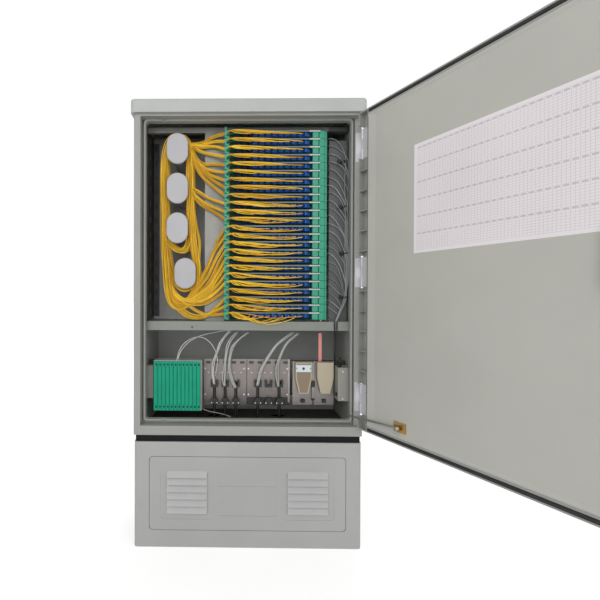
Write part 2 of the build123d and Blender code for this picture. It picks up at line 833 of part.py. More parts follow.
# Stay rod: eye on the pin and a thin rod that reaches back to the lip
stay_heading = swing + radians(180 + stay_rest_turn)
stay_run = Vector(stay_length * cos(stay_heading), stay_length * sin(stay_heading), -stay_drop)
with BuildPart() as stay_rod:
    with BuildSketch(Plane(origin=stay_pivot, z_dir=stay_run)):
        Circle(stay_rod_radius)
    extrude(amount=stay_run.length)
    with BuildSketch(Plane.XY.offset(eye_bottom)):
        with Locations((stay_pivot.X, stay_pivot.Y)):
            Circle(stay_eye_radius)
    extrude(amount=stay_eye_height)
    with BuildSketch(Plane.XY.offset(eye_bottom)):
        with Locations((stay_pivot.X, stay_pivot.Y)):
            Circle(stay_pin_radius + pin_clearance)
    extrude(amount=stay_eye_height, mode=Mode.SUBTRACT)
stay_rod.part.label = "stay_rod"
export_step(stay_rod.part, "parts/stay_rod.step")

# Lock case on the liner, open towards it, with a slot at each end for a rod
rod_outside = rod_inside + lock_rod_thickness
with BuildPart() as lock_case:
    with BuildSketch(door_plane.offset(door_inner_from_axis)):
        with Locations((lock_from_axis, lock_z)):
            Rectangle(lock_case_width, lock_case_height)
    extrude(amount=lock_case_depth)
    with BuildSketch(door_plane.offset(door_inner_from_axis)):
        with Locations((lock_from_axis, lock_z)):
            Rectangle(lock_case_width - 2 * lock_case_wall, lock_case_height - 2 * lock_case_wall)
    extrude(amount=lock_case_depth - lock_case_wall, mode=Mode.SUBTRACT)
    with BuildSketch(door_plane.offset(rod_inside - lock_rod_clearance)):
        with Locations((lock_from_axis, lock_z)):
            Rectangle(lock_rod_width + 2 * lock_rod_clearance, lock_case_height + overrun)
    extrude(amount=lock_rod_thickness + 2 * lock_rod_clearance, mode=Mode.SUBTRACT)
lock_case.part.label = "lock_case"
export_step(lock_case.part, "parts/lock_case.step")

# Lock handle: lever outside the door, spindle through it and cam in the case
handle_back = -door_outer_from_axis - handle_standoff
with BuildPart() as lock_handle:
    with BuildSketch(door_plane.offset(handle_back - handle_thickness)):
        with Locations((lock_from_axis - (handle_length - handle_width) / 2, lock_z)):
            SlotOverall(handle_length, handle_width)
    extrude(amount=handle_thickness)
    with BuildSketch(door_plane.offset(handle_back)):
        with Locations((lock_from_axis, lock_z)):
            Circle(lock_spindle_radius)
    extrude(amount=rod_outside + lock_cam_gap - handle_back)
    with BuildSketch(door_plane.offset(rod_outside + lock_cam_gap)):
        with Locations((lock_from_axis, lock_z)):
            Circle(lock_cam_radius)
    extrude(amount=lock_cam_thickness)
lock_handle.part.label = "lock_handle"
export_step(lock_handle.part, "parts/lock_handle.step")

# Lock rods: flat bars that slide through the case ends
with BuildPart() as upper_lock_rod:
    with BuildSketch(door_plane.offset(rod_inside)):
        rectangle(
            lock_from_axis - lock_rod_width / 2,
            lock_from_axis + lock_rod_width / 2,
            lock_z + lock_rod_start,
            opening_top - lock_rod_end_gap,
        )
    extrude(amount=lock_rod_thickness)
upper_lock_rod.part.label = "upper_lock_rod"
export_step(upper_lock_rod.part, "parts/upper_lock_rod.step")

with BuildPart() as lower_lock_rod:
    with BuildSketch(door_plane.offset(rod_inside)):
        rectangle(
            lock_from_axis - lock_rod_width / 2,
            lock_from_axis + lock_rod_width / 2,
            opening_bottom + lock_rod_end_gap,
            lock_z - lock_rod_start,
        )
    extrude(amount=lock_rod_thickness)
lower_lock_rod.part.label = "lower_lock_rod"
export_step(lower_lock_rod.part, "parts/lower_lock_rod.step")

# Mounting frame: two folded sheets, a top rail with a head plate over the spools, and two lower rails
rail_slot_pitch = (bay_top - bay_bottom) / rail_slot_count
with BuildPart() as mounting_frame:
    with BuildSketch(Plane.XY.offset(bay_bottom)):
        with BuildLine():
            Polyline(
                (-inner_half_width, side_rail_front),
                (-inner_half_width, spool_panel_y),
                (step_x, spool_panel_y),
                (step_x, strip_plate_y),
                (strip_plate_right, strip_plate_y),
                (strip_plate_right, strip_plate_y + strip_return),
            )
            offset(amount=sheet, side=Side.RIGHT, kind=Kind.INTERSECTION)
        make_face()
    extrude(amount=bay_top - bay_bottom)
    with BuildSketch(Plane.YZ.offset(-inner_half_width - overrun)):
        with Locations(((side_rail_front + spool_panel_y) / 2, (bay_bottom + bay_top) / 2)):
            with GridLocations(rail_slot_width, rail_slot_pitch, 1, rail_slot_count):
                Rectangle(rail_slot_width, rail_slot_height)
    extrude(amount=sheet + 2 * overrun, mode=Mode.SUBTRACT)
    with BuildSketch(Plane.XY.offset(bay_bottom)):
        with BuildLine():
            Polyline(
                (duct_plate_left, duct_plate_y),
                (inner_half_width, duct_plate_y),
                (inner_half_width, spool_panel_y),
            )
            offset(amount=sheet, side=Side.LEFT, kind=Kind.INTERSECTION)
        make_face()
    extrude(amount=bay_top - duct_plate_drop - bay_bottom)
    with BuildSketch(Plane.YZ.offset(-inner_half_width)):
        for front, bottom, depth, height in (
            (strip_plate_y - sheet, bay_top - top_rail_height, top_rail_depth, top_rail_height),
            (lower_rail_y, low_rail_bottom, lower_rail_size, lower_rail_size),
            (lower_rail_y, high_rail_bottom, lower_rail_size, lower_rail_size),
        ):
            rear = front + depth
            top = bottom + height
            rectangle(front, rear, bottom, top)
            rectangle(front + sheet, rear, bottom + sheet, top - sheet, mode=Mode.SUBTRACT)
    extrude(amount=2 * inner_half_width)
    with BuildSketch(Plane.YZ.offset(-inner_half_width)):
        rectangle(strip_plate_y - sheet, strip_plate_y, bay_top - head_rail_height, bay_top)
    extrude(amount=strip_plate_right + inner_half_width)
mounting_frame.part.label = "mounting_frame"
export_step(mounting_frame.part, "parts/mounting_frame.step")

# Cross beam: channel between the two bays, cut through at the front right for the tube bundle
pigtail_first_x = pigtail_last_x - (pigtail_count - 1) * pigtail_pitch
pigtail_y = duct_plate_y - seat_gap - pigtail_radius
beam_bottom = bay_bottom - beam_height
with BuildPart() as cross_beam:
    with BuildSketch(Plane.YZ.offset(-inner_half_width)):
        rectangle(beam_front, beam_front + sheet, beam_bottom, bay_bottom)
        rectangle(beam_front, beam_front + beam_depth, bay_bottom - sheet, bay_bottom)
        rectangle(beam_front, beam_front + beam_depth / 2, beam_bottom, beam_bottom + sheet)
    extrude(amount=2 * inner_half_width)
    with BuildSketch(facing(beam_front - overrun)):
        rectangle(
            beam_slot_x - beam_slot_width / 2,
            beam_slot_x + beam_slot_width / 2,
            beam_bottom - overrun,
            bay_bottom + overrun,
        )
    extrude(amount=-beam_slot_depth - overrun, mode=Mode.SUBTRACT)
    with BuildSketch(Plane.XY.offset(bay_bottom - sheet)):
        rectangle(
            pigtail_first_x - 2 * pigtail_radius,
            pigtail_last_x + 2 * pigtail_radius,
            pigtail_y - 2 * pigtail_radius,
            duct_plate_y,
        )
    extrude(amount=sheet, mode=Mode.SUBTRACT)
cross_beam.part.label = "cross_beam"
export_step(cross_beam.part, "parts/cross_beam.step")

# Tray pivot rod with the collar that the lowest tray rests on
with BuildPart() as tray_pivot_rod:
    with BuildSketch(Plane.XY.offset(bay_bottom)):
        with Locations((tray_pivot_x, tray_pivot_y)):
            Circle(pivot_collar_radius)
    extrude(amount=stack_bottom - bay_bottom)
    with BuildSketch(Plane.XY.offset(bay_bottom)):
        with Locations((tray_pivot_x, tray_pivot_y)):
            Circle(pivot_rod_radius)
    extrude(amount=bay_top - top_rail_height - bay_bottom)
tray_pivot_rod.part.label = "tray_pivot_rod"
export_step(tray_pivot_rod.part, "parts/tray_pivot_rod.step")


def on_tray_arc(y, reach):
    """Point at depth y on the circle about the tray pivot that the tray's free end swings on."""
    return (tray_pivot_x - sqrt(reach**2 - (y - tray_pivot_y) ** 2), y)


# One tray: lidded box with a curved free end, slanted adapters, label strip, cord hook and pivot boss
tray_corner = on_tray_arc(tray_front, tray_reach)
strip_left = tray_corner[0] + hook_width + strip_gap
strip_bottom = tray_wall_height - strip_height
slant = radians(adapter_angle)
adapter_first = tray_pivot_x - adapter_from_pivot
plug_end = (adapter_outside + plug_length) * cos(slant) + plug_width / 2 * sin(slant)
adapter_count = 1 + int((adapter_first - plug_end - strip_left) / adapter_pitch)
adapter_places = [adapter_first - number * adapter_pitch for number in range(adapter_count)]
adapter_middle_z = adapter_bottom + adapter_height / 2
end_block_right = tray_pivot_x - end_block_from_pivot
end_block_left = end_block_right - end_block_width
with BuildPart() as tray_blank:
    with BuildSketch() as tray_plan:
        with BuildLine():
            Polyline(
                tray_corner,
                (tray_right, tray_front),
                (tray_right, tray_rear),
                on_tray_arc(tray_rear, tray_reach),
            )
            ThreePointArc(
                on_tray_arc(tray_rear, tray_reach),
                on_tray_arc((tray_front + tray_rear) / 2, tray_reach),
                tray_corner,
            )
        make_face()
    extrude(amount=tray_wall_height)
    with BuildSketch(Plane.XY.offset(tray_floor)):
        add(tray_plan.sketch)
        offset(amount=-tray_wall, mode=Mode.REPLACE)
    extrude(amount=tray_wall_height - tray_floor - tray_lid, mode=Mode.SUBTRACT)
    for height, wide, inside, outside in (
        (adapter_height, adapter_width, adapter_inside, adapter_outside),
        (plug_height, plug_width, 0, adapter_outside + plug_length),
    ):
        to_middle = (outside - inside) / 2
        with BuildSketch(Plane.XY.offset(adapter_middle_z - height / 2)):
            for x in adapter_places:
                with Locations((x - to_middle * cos(slant), tray_front - to_middle * sin(slant))):
                    Rectangle(outside + inside, wide, rotation=adapter_angle)
        extrude(amount=height)
    with BuildSketch(facing(tray_front)):
        rectangle(strip_left, strip_right, strip_bottom, tray_wall_height)
    extrude(amount=strip_depth)
    with BuildSketch(facing(tray_front)):
        rectangle(strip_left, end_block_left, 0, shelf_thickness)
        rectangle(end_block_left, end_block_right, 0, strip_bottom)
    extrude(amount=shelf_depth)
    with BuildSketch(facing(tray_front)):
        with BuildLine():
            Polyline(
                (tray_corner[0], 0),
                (tray_corner[0] + hook_width, 0),
                (tray_corner[0] + hook_width / 2, tray_wall_height / 2),
                (tray_corner[0] + hook_width, tray_wall_height),
                (tray_corner[0], tray_wall_height),
                close=True,
            )
        make_face()
    extrude(amount=hook_depth)
    with BuildSketch(Plane.YZ.offset(tray_corner[0] - overrun)):
        rectangle(
            tray_front - hook_depth + hook_bar,
            tray_front,
            hook_arm,
            tray_wall_height - hook_arm,
        )
    extrude(amount=hook_width + overrun + strip_gap / 2, mode=Mode.SUBTRACT)
    with BuildSketch():
        with Locations((tray_pivot_x, tray_pivot_y)):
            Circle(tray_boss_radius)
        rectangle(
            tray_pivot_x - tray_boss_radius,
            tray_pivot_x + tray_boss_radius,
            tray_pivot_y - tray_block_depth,
            tray_pivot_y,
        )
    extrude(amount=tray_height)
    with BuildSketch():
        with Locations((tray_pivot_x, tray_pivot_y)):
            Circle(pivot_rod_radius + pin_clearance)
    extrude(amount=tray_height, mode=Mode.SUBTRACT)

# The stack of trays, numbered from the top
for number in range(1, tray_count + 1):
    tray_bottom = stack_top - number * tray_pitch + tray_gap / 2
    with BuildPart() as tray:
        with Locations((0, 0, tray_bottom)):
            add(tray_blank.part)
    tray.part.label = f"tray_{number:02d}"
    export_step(tray.part, f"parts/tray_{number:02d}.step")

# Cord spools: hollow cores on the spool panel and round-ended caps in front of them
spool_base = spool_panel_y - sheet
spool_column_x = spool_column_share * spool_bay_width - inner_half_width
low_spool = (low_spool_share * spool_bay_width - inner_half_width, bay_bottom + low_spool_rise)
spool_top = bay_top - spool_top_drop
spools_in_column = int((spool_top - low_spool[1]) / spool_pitch)
spool_places = [(spool_column_x, spool_top - number * spool_pitch) for number in range(spools_in_column)]
spool_places.append(low_spool)
with BuildPart() as cord_spools:
    with BuildSketch(facing(spool_base)):
        with Locations(*spool_places):
            SlotOverall(spool_core_height, spool_core_width, rotation=90)
            SlotOverall(
                spool_core_height - 2 * spool_wall,
                spool_core_width - 2 * spool_wall,
                rotation=90,
                mode=Mode.SUBTRACT,
            )
    extrude(amount=spool_base - spool_front - spool_cap_thickness)
cord_spools.part.label = "cord_spools"
export_step(cord_spools.part, "parts/cord_spools.step")

with BuildPart() as spool_caps:
    with BuildSketch(facing(spool_front + spool_cap_thickness)):
        with Locations(*spool_places):
            SlotOverall(spool_cap_height, spool_cap_width, rotation=90)
    extrude(amount=spool_cap_thickness)
    chamfer(spool_caps.faces().group_by(Axis.Y)[0].edges(), spool_cap_edge)
spool_caps.part.label = "spool_caps"
export_step(spool_caps.part, "parts/spool_caps.step")


def spool_hull(margin):
    """Outline of a loop laid round all four spool cores at a margin."""
    with Locations(*spool_places):
        SlotOverall(spool_core_height + 2 * margin, spool_core_width + 2 * margin, rotation=90)
    make_hull()


# Patch cords: the hank round the spools and its fans to the tray hooks
with BuildPart() as patch_cords:
    with BuildSketch(facing(hank_front)):
        spool_hull(hank_clearance + hank_band)
    extrude(amount=-hank_depth)
    with BuildSketch(facing(hank_front)):
        spool_hull(hank_clearance)
    extrude(amount=-hank_depth, mode=Mode.SUBTRACT)
    for start, end, up, wide, across in zip(
        fan_end_shares,
        fan_end_shares[1:],
        fan_root_height_shares,
        fan_root_spread_shares,
        fan_root_across_shares,
    ):
        root_x = across * spool_bay_width - inner_half_width
        root_z = bay_bottom + up * (bay_top - bay_bottom)
        spread = wide * (bay_top - bay_bottom)
        with BuildSketch(facing(hank_front)):
            with BuildLine():
                Polyline(
                    (root_x, root_z - spread / 2),
                    (root_x, root_z + spread / 2),
                    (strip_plate_right, stack_top - start * stack_height - fan_margin),
                    (strip_plate_right, stack_top - end * stack_height + fan_margin),
                    close=True,
                )
            make_face()
        extrude(amount=fan_depth)
patch_cords.part.label = "patch_cords"
export_step(patch_cords.part, "parts/patch_cords.step")

# Pigtail tubes: round the bend beside the trays and down through the beam
with BuildPart() as pigtail_tubes:
    for group in range(pigtail_count):
        start_z = stack_top - (group + 0.5) * stack_height / pigtail_count
        column_x = pigtail_last_x - group * pigtail_pitch
        route = [
            (pigtail_start_x, pigtail_y, start_z),
            (column_x, pigtail_y, start_z),
            (column_x, pigtail_y, bay_bottom - beam_height / 2),
        ]
        with BuildLine() as pigtail_line:
            FilletPolyline(*route, radius=bend_radii(route))
        with BuildSketch(Plane(origin=route[0], z_dir=(1, 0, 0))):
            Circle(pigtail_radius)
        sweep(path=pigtail_line.wire())
pigtail_tubes.part.label = "pigtail_tubes"
export_step(pigtail_tubes.part, "parts/pigtail_tubes.step")

# Splice cassette box: folded frame on the lower rails, open at the front
with BuildPart() as cassette_box:
    with BuildSketch(facing(lower_rail_y)):
        rectangle(box_left, box_right, box_bottom, box_top)
    extrude(amount=sheet)
    with BuildSketch(facing(plate_front)):
        rectangle(box_left, box_right, box_bottom, box_top)
        rectangle(
            box_left + sheet, box_right - sheet, box_bottom + sheet, box_top - sheet, mode=Mode.SUBTRACT
        )
    extrude(amount=cassette_depth)
cassette_box.part.label = "cassette_box"
export_step(cassette_box.part, "parts/cassette_box.step")

# Splice cassettes: upright plates with a finger notch at each front corner
cassette_front = plate_front - cassette_gap - cassette_depth
with BuildPart() as splice_cassettes:
    for number in range(cassette_count):
        with BuildSketch(Plane.YZ.offset(cassette_left + number * cassette_pitch)):
            rectangle(cassette_front, cassette_front + cassette_depth, cassette_bottom, cassette_top)
            for bottom in (cassette_bottom, cassette_top - cassette_notch_depth):
                rectangle(
                    cassette_front,
                    cassette_front + cassette_notch_width,
                    bottom,
                    bottom + cassette_notch_depth,
                    mode=Mode.SUBTRACT,
                )
        extrude(amount=cassette_thickness)
splice_cassettes.part.label = "splice_cassettes"
export_step(splice_cassettes.part, "parts/splice_cassettes.step")

# Cable fixing plates on the lower rails, with a row of tie slots near the top
with BuildPart() as cable_plates:
    with BuildSketch(facing(lower_rail_y)):
        for middle in plate_middles:
            with Locations((middle, plate_bottom + plate_height / 2)):
                Rectangle(plate_width, plate_height)
            with Locations((middle, plate_bottom + plate_height - plate_slot_drop)):
                with GridLocations(plate_width / plate_slot_count, plate_slot_height, plate_slot_count, 1):
                    Rectangle(plate_slot_width, plate_slot_height, mode=Mode.SUBTRACT)
    extrude(amount=sheet)
cable_plates.part.label = "cable_plates"
export_step(cable_plates.part, "parts/cable_plates.step")

# Cable clamps: saddles over the feeder cables
saddle_room = 2 * (feeder_radius + feeder_clearance)
with BuildPart() as cable_clamps:
    for places, height in ((upper_clamp_x, upper_clamp_z), (feeder_x, lower_clamp_z)):
        with BuildSketch(Plane.XY.offset(height - clamp_height / 2)):
            with Locations(*[(x, plate_front - clamp_depth / 2) for x in places]):
                Rectangle(clamp_width, clamp_depth)
            with Locations(*[(x, plate_front - saddle_room / 2) for x in places]):
                Rectangle(saddle_room, saddle_room, mode=Mode.SUBTRACT)
        extrude(amount=clamp_height)
cable_clamps.part.label = "cable_clamps"
export_step(cable_clamps.part, "parts/cable_clamps.step")

# Feeder cables: from the floor up to the upper clamps
feeder_top = upper_clamp_z + clamp_height / 2
with BuildPart() as feeder_cables:
    with BuildSketch(Plane.XY.offset(body_bottom)):
        with Locations(*[(x, feeder_y) for x in feeder_x]):
            Circle(feeder_radius)
    extrude(amount=feeder_top - body_bottom)
feeder_cables.part.label = "feeder_cables"
export_step(feeder_cables.part, "parts/feeder_cables.step")


def in_lower_bay(shares):
    """Point of the lower bay from its shares across, forward and up."""
    across, forward, up = shares
    return (
        across * inner_half_width,
        plate_front - forward * cassette_depth,
        feeder_top + up * (bay_bottom - feeder_top),
    )


# Loose tubes: from each feeder's end up behind the cross beam, and one from the cassettes
tube_routes = [[in_lower_bay(shares) for shares in cassette_tube_shares]]
for x, bends in zip(feeder_x, feeder_tube_shares):
    bend_points = [in_lower_bay(shares) for shares in bends]
    straight_up = (x, feeder_y, bend_points[0][2])
    tube_routes.append([(x, feeder_y, feeder_top), straight_up] + bend_points[1:])
print("least bend radius of each loose tube:", [round(min(bend_radii(route))) for route in tube_routes])
with BuildPart() as cable_tubes:
    for route in tube_routes:
        with BuildLine() as tube_line:
            FilletPolyline(*route, radius=bend_radii(route))
        with BuildSketch(Plane(origin=route[0], z_dir=Vector(*route[1]) - Vector(*route[0]))):
            Circle(tube_radius)
        sweep(path=tube_line.wire())
cable_tubes.part.label = "cable_tubes"
export_step(cable_tubes.part, "parts/cable_tubes.step")

# Fan-out covers: funnels on the lower rails, open below
with BuildPart() as fanout_covers:
    for cover in range(fanout_count):
        center = fanout_first_x + cover * fanout_pitch
        for shrink, mode in ((0, Mode.ADD), (fanout_wall, Mode.SUBTRACT)):
            half_top = fanout_top_width / 2 - shrink
            half_bottom = fanout_bottom_width / 2 - shrink
            with BuildSketch(facing(lower_rail_y)):
                with BuildLine():
                    Polyline(
                        (center - half_bottom, fanout_bottom),
                        (center + half_bottom, fanout_bottom),
                        (center + half_top, fanout_bottom + fanout_height / 2),
                        (center + half_top, fanout_bottom + fanout_height - shrink),
                        (center - half_top, fanout_bottom + fanout_height - shrink),
                        (center - half_top, fanout_bottom + fanout_height / 2),
                        close=True,
                    )
                make_face()
            extrude(amount=fanout_depth - shrink, mode=mode)
fanout_covers.part.label = "fanout_covers"
export_step(fanout_covers.part, "parts/fanout_covers.step")

# Earth bar: upright copper strip on the upper of the two lower rails
with BuildPart() as earth_bar:
    with BuildSketch(facing(lower_rail_y)):
        rectangle(
            earth_bar_x - earth_bar_width / 2,
            earth_bar_x + earth_bar_width / 2,
            fanout_bottom + fanout_height + seat_gap,
            earth_bar_top,
        )
    extrude(amount=earth_bar_thickness)
earth_bar.part.label = "earth_bar"
export_step(earth_bar.part, "parts/earth_bar.step")

# Side box on the right wall and a plain cover plate opposite it
with BuildPart() as side_box:
    with BuildSketch(Plane.XY.offset(side_box_bottom)) as side_box_plan:
        rectangle(
            inner_half_width - side_box_width,
            inner_half_width,
            side_box_front,
            side_box_front + side_box_depth,
        )
        fillet(side_box_plan.vertices().group_by(Axis.X)[0], side_box_radius)
    extrude(amount=side_box_height)
    with BuildSketch(Plane.XY.offset(side_box_bottom)):
        rectangle(
            -inner_half_width,
            side_plate_width - inner_half_width,
            side_box_front + side_box_depth - side_plate_depth,
            side_box_front + side_box_depth,
        )
    extrude(amount=side_box_height)
side_box.part.label = "side_box"
export_step(side_box.part, "parts/side_box.step")
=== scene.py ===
"""Looks of the optical distribution cabinet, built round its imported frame. Lengths are in millimetres."""
import json
import math
import random

import bpy
import numpy as np
from mathutils import Matrix, Vector

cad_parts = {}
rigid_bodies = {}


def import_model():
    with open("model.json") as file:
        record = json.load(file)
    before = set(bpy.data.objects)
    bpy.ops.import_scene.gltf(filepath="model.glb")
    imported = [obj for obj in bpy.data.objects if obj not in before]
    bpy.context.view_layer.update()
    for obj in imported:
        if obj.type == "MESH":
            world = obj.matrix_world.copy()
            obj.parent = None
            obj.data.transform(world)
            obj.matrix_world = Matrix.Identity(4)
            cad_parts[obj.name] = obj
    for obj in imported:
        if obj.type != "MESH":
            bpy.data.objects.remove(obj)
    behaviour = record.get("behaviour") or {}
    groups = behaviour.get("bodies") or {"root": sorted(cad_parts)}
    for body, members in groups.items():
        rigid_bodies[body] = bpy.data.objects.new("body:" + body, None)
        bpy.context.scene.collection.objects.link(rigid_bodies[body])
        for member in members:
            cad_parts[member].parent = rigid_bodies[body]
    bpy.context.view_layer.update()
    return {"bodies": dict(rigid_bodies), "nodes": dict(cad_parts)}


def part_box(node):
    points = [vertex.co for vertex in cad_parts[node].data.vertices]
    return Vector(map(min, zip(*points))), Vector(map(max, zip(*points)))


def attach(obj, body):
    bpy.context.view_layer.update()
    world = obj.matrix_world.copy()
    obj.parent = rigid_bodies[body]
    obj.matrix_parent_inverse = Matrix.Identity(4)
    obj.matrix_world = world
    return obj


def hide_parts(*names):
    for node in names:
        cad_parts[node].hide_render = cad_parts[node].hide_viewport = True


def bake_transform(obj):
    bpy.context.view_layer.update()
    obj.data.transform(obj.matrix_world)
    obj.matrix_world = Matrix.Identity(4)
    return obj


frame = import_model()
nodes = frame["nodes"]
draw = random.Random(7)

MM = 0.001

# Camera: place and turn in the cabinet's frame, focal length and image centre for a 600 pixel square
CAMERA = (-27.8, -1411.4, 808.5)
YAW, PITCH, ROLL = math.radians(-0.83), math.radians(-0.39), math.radians(0.17)
FOCAL, CENTRE_X, CENTRE_Y, IMAGE = 390.1, 233.5, 300.8, 600.0

forward = Vector((math.cos(PITCH) * math.sin(YAW), math.cos(PITCH) * math.cos(YAW), math.sin(PITCH)))
level = Vector((math.cos(YAW), -math.sin(YAW), 0))
upright = level.cross(forward)
right = math.cos(ROLL) * level + math.sin(ROLL) * upright
up = math.cos(ROLL) * upright - math.sin(ROLL) * level


def seen(px, py, y):
    """Point in millimetres at depth y that the camera sees at an image place."""
    ray = forward * FOCAL + right * (px - CENTRE_X) - up * (py - CENTRE_Y)
    return np.array(Vector(CAMERA) + ray * ((y - CAMERA[1]) / ray.y))


# Door frame: along the door from the hinge, and towards its inside
SWING = math.radians(117.4)
HINGE = np.array((366.0, -152.0, 0.0))
ALONG = np.array((-math.cos(SWING), -math.sin(SWING), 0.0))
INTO = np.array((-math.sin(SWING), math.cos(SWING), 0.0))

# Materials


def srgb(r, g, b):
    """Linear colour from a display colour of 0 to 255."""
    values = [c / 255 for c in (r, g, b)]
    return tuple(c / 12.92 if c <= 0.04045 else ((c + 0.055) / 1.055) ** 2.4 for c in values)


def scaled(color, factor):
    return (*[min(1.0, c * factor) for c in color], 1.0)


# Numbers of a colour mix node's two colours and its result among its sockets
MIX_FIRST, MIX_SECOND, MIX_RESULT = 6, 7, 2


class Tree:
    """Shorthand for a node tree."""

    def __init__(self, tree):
        self.tree = tree

    def link(self, value, socket):
        """Number, colour or another node's output into a socket."""
        if isinstance(value, (int, float, tuple)):
            socket.default_value = value
        else:
            self.tree.links.new(value, socket)

    def node(self, kind, output, inputs=None, **settings):
        """Output of a new node, with its inputs and settings filled in."""
        made = self.tree.nodes.new("ShaderNode" + kind)
        for name, value in settings.items():
            setattr(made, name, value)
        for socket, value in (inputs or {}).items():
            self.link(value, made.inputs[socket])
        return made.outputs[output]

    def ranged(self, value, low, high, start=0.3, end=0.7):
        """Value from start to end, spread from low to high."""
        limits = {"From Min": start, "From Max": end, "To Min": low, "To Max": high}
        return self.node("MapRange", "Result", {"Value": value, **limits})

    def math(self, operation, a, b):
        return self.node("Math", "Value", {0: a, 1: b}, operation=operation)

    def mix(self, factor, a, b):
        """Colour between a and b."""
        inputs = {"Factor": factor, MIX_FIRST: a, MIX_SECOND: b}
        return self.node("Mix", MIX_RESULT, inputs, data_type="RGBA")


class Nodes(Tree):
    """Node tree of a new material."""

    def __init__(self, name):
        self.material = bpy.data.materials.new(name)
        self.material.use_nodes = True
        super().__init__(self.material.node_tree)
        self.shader = self.tree.nodes["Principled BSDF"]
        self.place = self.node("TexCoord", "Object")

    def set(self, name, value):
        self.link(value, self.shader.inputs[name])

    def axis(self, name):
        """One of the object's own axes: X, Y or Z."""
        return self.node("SeparateXYZ", name, {"Vector": self.place})

    def noise(self, scale, detail=2.0, stretch=(1.0, 1.0, 1.0)):
        place = self.node("Mapping", "Vector", {"Scale": stretch, "Vector": self.place})
        return self.node("TexNoise", "Fac", {"Scale": scale, "Detail": detail, "Vector": place})

    def cells(self, scale):
        return self.node("TexVoronoi", "Color", {"Scale": scale, "Vector": self.place})

    def bump(self, height, strength, distance):
        inputs = {"Strength": strength, "Distance": distance, "Height": height}
        self.set("Normal", self.node("Bump", "Normal", inputs))


# Shares of the zinc flakes and the fine specks, how light and dark they are, and how uneven the gloss is
FLAKE_SHARE, FLAKE_LIGHT = 0.35, 1.25
SPECK_SHARE, SPECK_DARK = 0.18, 0.82
ROUGH_SPREAD = 0.07


def surface(name, color, rough, metal=0.0, mottle=6.0, vary=0.06, grain=900.0, bump=0.12, depth=0.0004,
            stretch=(1.0, 1.0, 1.0), spangle=0.0, gloss=0.5, fade=None):
    """Moulded, painted or metal surface: broad tone changes, a fine grain and uneven gloss. The colour may
    darken from one height to another, given in metres."""
    n = Nodes(name)
    color = srgb(*color)
    broad = n.ranged(n.noise(mottle, 3.0), 0.0, 1.0)
    tone = n.mix(broad, scaled(color, 1 - vary), scaled(color, 1 + vary))
    if spangle:
        flake = n.math("MULTIPLY", n.cells(spangle), FLAKE_SHARE)
        tone = n.mix(flake, tone, scaled(color, FLAKE_LIGHT))
    fine = n.noise(grain, 2.0, stretch)
    speck = n.math("MULTIPLY", n.ranged(fine, 0.0, 1.0), SPECK_SHARE)
    tone = n.mix(speck, tone, scaled(color, SPECK_DARK))
    if fade:
        start, end, dark = fade
        tone = n.mix(n.ranged(n.axis("Z"), 0.0, 1.0, start, end), tone, scaled(color, dark))
    n.set("Base Color", tone)
    n.set("Roughness", n.ranged(n.noise(mottle * 5), rough - ROUGH_SPREAD, rough + ROUGH_SPREAD))
    n.bump(fine, bump, depth)
    n.set("Metallic", metal)
    n.set("Specular IOR Level", gloss)
    return n.material


# Share and darkness of the soil on cords, and how far their gloss goes under and over its middle
SOIL_SHARE, SOIL_DARK = 0.25, 0.85
CORD_GLOSS = (0.06, 0.08)


def cord_surface(name, dark, light, rough=0.42):
    """Cord jacket: each strand has its own shade, held in the mesh."""
    n = Nodes(name)
    dark, light = srgb(*dark), srgb(*light)
    strand = n.node("Attribute", "Fac", attribute_name="strand")
    tone = n.mix(strand, (*dark, 1.0), (*light, 1.0))
    soil = n.math("MULTIPLY", n.ranged(n.noise(40.0, 3.0), 0.0, 1.0), SOIL_SHARE)
    n.set("Base Color", n.mix(soil, tone, scaled(dark, SOIL_DARK)))
    n.set("Roughness", n.ranged(n.noise(300.0), rough - CORD_GLOSS[0], rough + CORD_GLOSS[1]))
    n.bump(n.noise(1500.0), 0.08, 0.0002)
    return n.material


BODY = surface("smc_body", (154, 155, 151), 0.55, vary=0.035)
CAP = surface("smc_cap", (176, 178, 175), 0.52)
PLINTH = surface("smc_plinth", (168, 169, 167), 0.55, vary=0.035)
LINER = surface("smc_liner", (184, 184, 177), 0.5, vary=0.03)
BAND = surface("dark_band", (30, 28, 30), 0.7, gloss=0.1)
# Lighter copy of the plinth grey for the louvre blades: painted light from above
LOUVRE_LIT = surface("smc_louvre_lit", (173, 174, 173), 0.5, vary=0.03)
FLOOR_BLACK = surface("floor_black", (62, 60, 57), 0.6)
RUBBER = surface("seal_rubber", (22, 22, 23), 0.65, bump=0.2)
# Both zinc finishes are darker towards the bottom of the plates
ZINC = surface("zinc_plate", (128, 121, 118), 0.42, metal=0.5, spangle=130.0, vary=0.05,
               fade=(0.505, 0.44, 0.5))
PALE_ZINC = surface("pale_zinc", (160, 154, 150), 0.4, metal=0.3, spangle=110.0, vary=0.05,
                    fade=(0.52, 0.43, 0.6))
BOX_SHEET = surface("box_sheet", (168, 171, 167), 0.45, metal=0.2, vary=0.04)
BEAM = surface("beam_paint", (130, 134, 127), 0.5, vary=0.04)
# Dark plate at the left of the bay: painted shade of the recess there
SHADE_SHEET = surface("shade_sheet", (52, 52, 52), 0.55, vary=0.08)
STEEL = surface("hinge_steel", (208, 207, 211), 0.42, metal=0.2, grain=400.0, stretch=(1, 1, 0.02))
ROD_STEEL = surface("rod_steel", (165, 163, 158), 0.35, metal=0.8, grain=500.0, stretch=(1, 1, 0.02))
BRASS = surface("brass_fitting", (176, 142, 82), 0.35, metal=0.85)
LOCK = surface("lock_paint", (150, 150, 148), 0.45, metal=0.3)
SPOOL = surface("spool_white", (172, 171, 174), 0.45, vary=0.03)
GREEN = surface("tray_green", (42, 152, 120), 0.42, vary=0.05)
